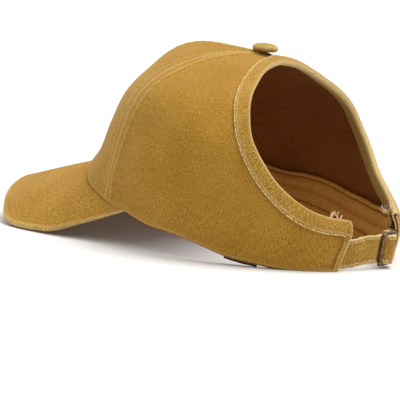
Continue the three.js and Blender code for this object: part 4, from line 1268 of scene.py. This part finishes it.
def buildStitches():
    # Rows on both sides of the side seams and the centre seam, and along the hem
    rows = []
    height = np.linspace(0.03, 0.985, 260)
    seamRow, centreRow = (lerp(edgeRow(turn), holeRow(turn), height) for turn in (seamTurn, 0.0))
    seamRow, centreRow = (rows[rows < welt["lastRow"]] for rows in (seamRow, centreRow))
    for side in (-1, 1):
        spots = seamSpots(seamRow, side * readTable(welt["stitch"], seamRow))
        path, normal = crownPoint(spots, np.full(len(spots), -welt["threadLift"])), crownNormal(spots)
        for flip in (1, -1):
            rows.append(stitchRow(path * [flip, 1, 1], normal * [flip, 1, 1], seed=5 + side + flip))
        spots = besides(spotAt(centreRow, 0.0), side * readTable(welt["centre"], centreRow))
        rows.append(stitchRow(
            crownPoint(spots, np.full(len(spots), -welt["threadLift"])), crownNormal(spots), seed=11 + side))
    share = np.linspace(0.012, 0.988, 500)
    spots = hemSpots(share, hem["stitch"] * hemNarrowing(share))
    path = crownPoint(spots, np.full(len(spots), -hem["threadLift"]))
    hemRow = stitchRow(path, crownNormal(spots), length=2.9, radius=0.27, seed=21)
    addPiece("crown_stitches", joinSolids(rows), [faintThread])
    addPiece("hem_stitches", hemRow, [paleThread])


def buildEndStitches():
    # Two rows of rust-coloured stitches that close each rear end of the crown
    foot = spotAt(edgeRow(footTurn), footTurn)
    corner = hemSpots(0.0, 2.0)
    share = np.linspace(0.03, 0.97, 120)
    ending = foot + (corner - foot) * share[:, None]
    lift = lerp(-0.05, -1.3, smoothStep(share, 0.50, 0.56))
    rows = []
    for inset in (4.6, 5.4):
        spots = besides(ending, -inset)
        path, normal = crownPoint(spots, lift), crownNormal(spots)
        rows += [stitchRow(path * [flip, 1, 1], normal * [flip, 1, 1], pitch=2.6, length=2.3, radius=0.20,
                           seed=31 + int(inset * 10)) for flip in (1, -1)]
    addPiece("end_stitches", joinSolids(rows), [rustThread])


buildStitches()
buildEndStitches()
print("topstitching done")


# Studio: a pale floor, a room that brightens from its horizon to its ceiling, and a broad high sun

studio = {
    "floor": "dcdbd9", "ceiling": 1.30, "horizon": 0.14, "keyPower": 2.25, "keyWidth": 34,
    "keyFrom": (-0.45, 0.50, 2.0),
}


def buildStudio():
    # Floor, a world whose light grows with the height of the view, and the sun
    floor = bpy.data.meshes.new("floor")
    floor.from_pydata([(-6, -6, 0), (6, -6, 0), (6, 6, 0), (-6, 6, 0)], [], [(0, 1, 2, 3)])
    material, _, shader = startMaterial("matt_paper", {
        "Base Color": toLinear(studio["floor"]), "Roughness": 0.9, "Specular IOR Level": 0.2})
    floor.materials.append(material)
    ground = bpy.data.objects.new("floor", floor)
    bpy.context.collection.objects.link(ground)
    world = bpy.data.worlds.new("white_room")
    world.use_nodes = True
    tree = world.node_tree
    direction = addNode(tree, "ShaderNodeTexCoord", output="Generated")
    upward = addNode(tree, "ShaderNodeSeparateXYZ", {0: direction}, output=2)
    glow = addNode(tree, "ShaderNodeMapRange", {
        "Value": upward, "From Min": 0.0, "From Max": 0.8, "To Min": studio["horizon"],
        "To Max": studio["ceiling"]})
    tree.nodes["Background"].inputs["Color"].default_value = (1, 1, 1, 1)
    tree.links.new(glow, tree.nodes["Background"].inputs["Strength"])
    bpy.context.scene.world = world
    bpy.context.scene.view_settings.view_transform = "Standard"
    key = bpy.data.objects.new("key_light", bpy.data.lights.new("key_light", "SUN"))
    key.data.energy, key.data.angle = studio["keyPower"], math.radians(studio["keyWidth"])
    key.location = studio["keyFrom"]
    key.rotation_euler = key.location.to_track_quat("Z", "Y").to_euler()
    bpy.context.collection.objects.link(key)


buildStudio()
print("studio set")
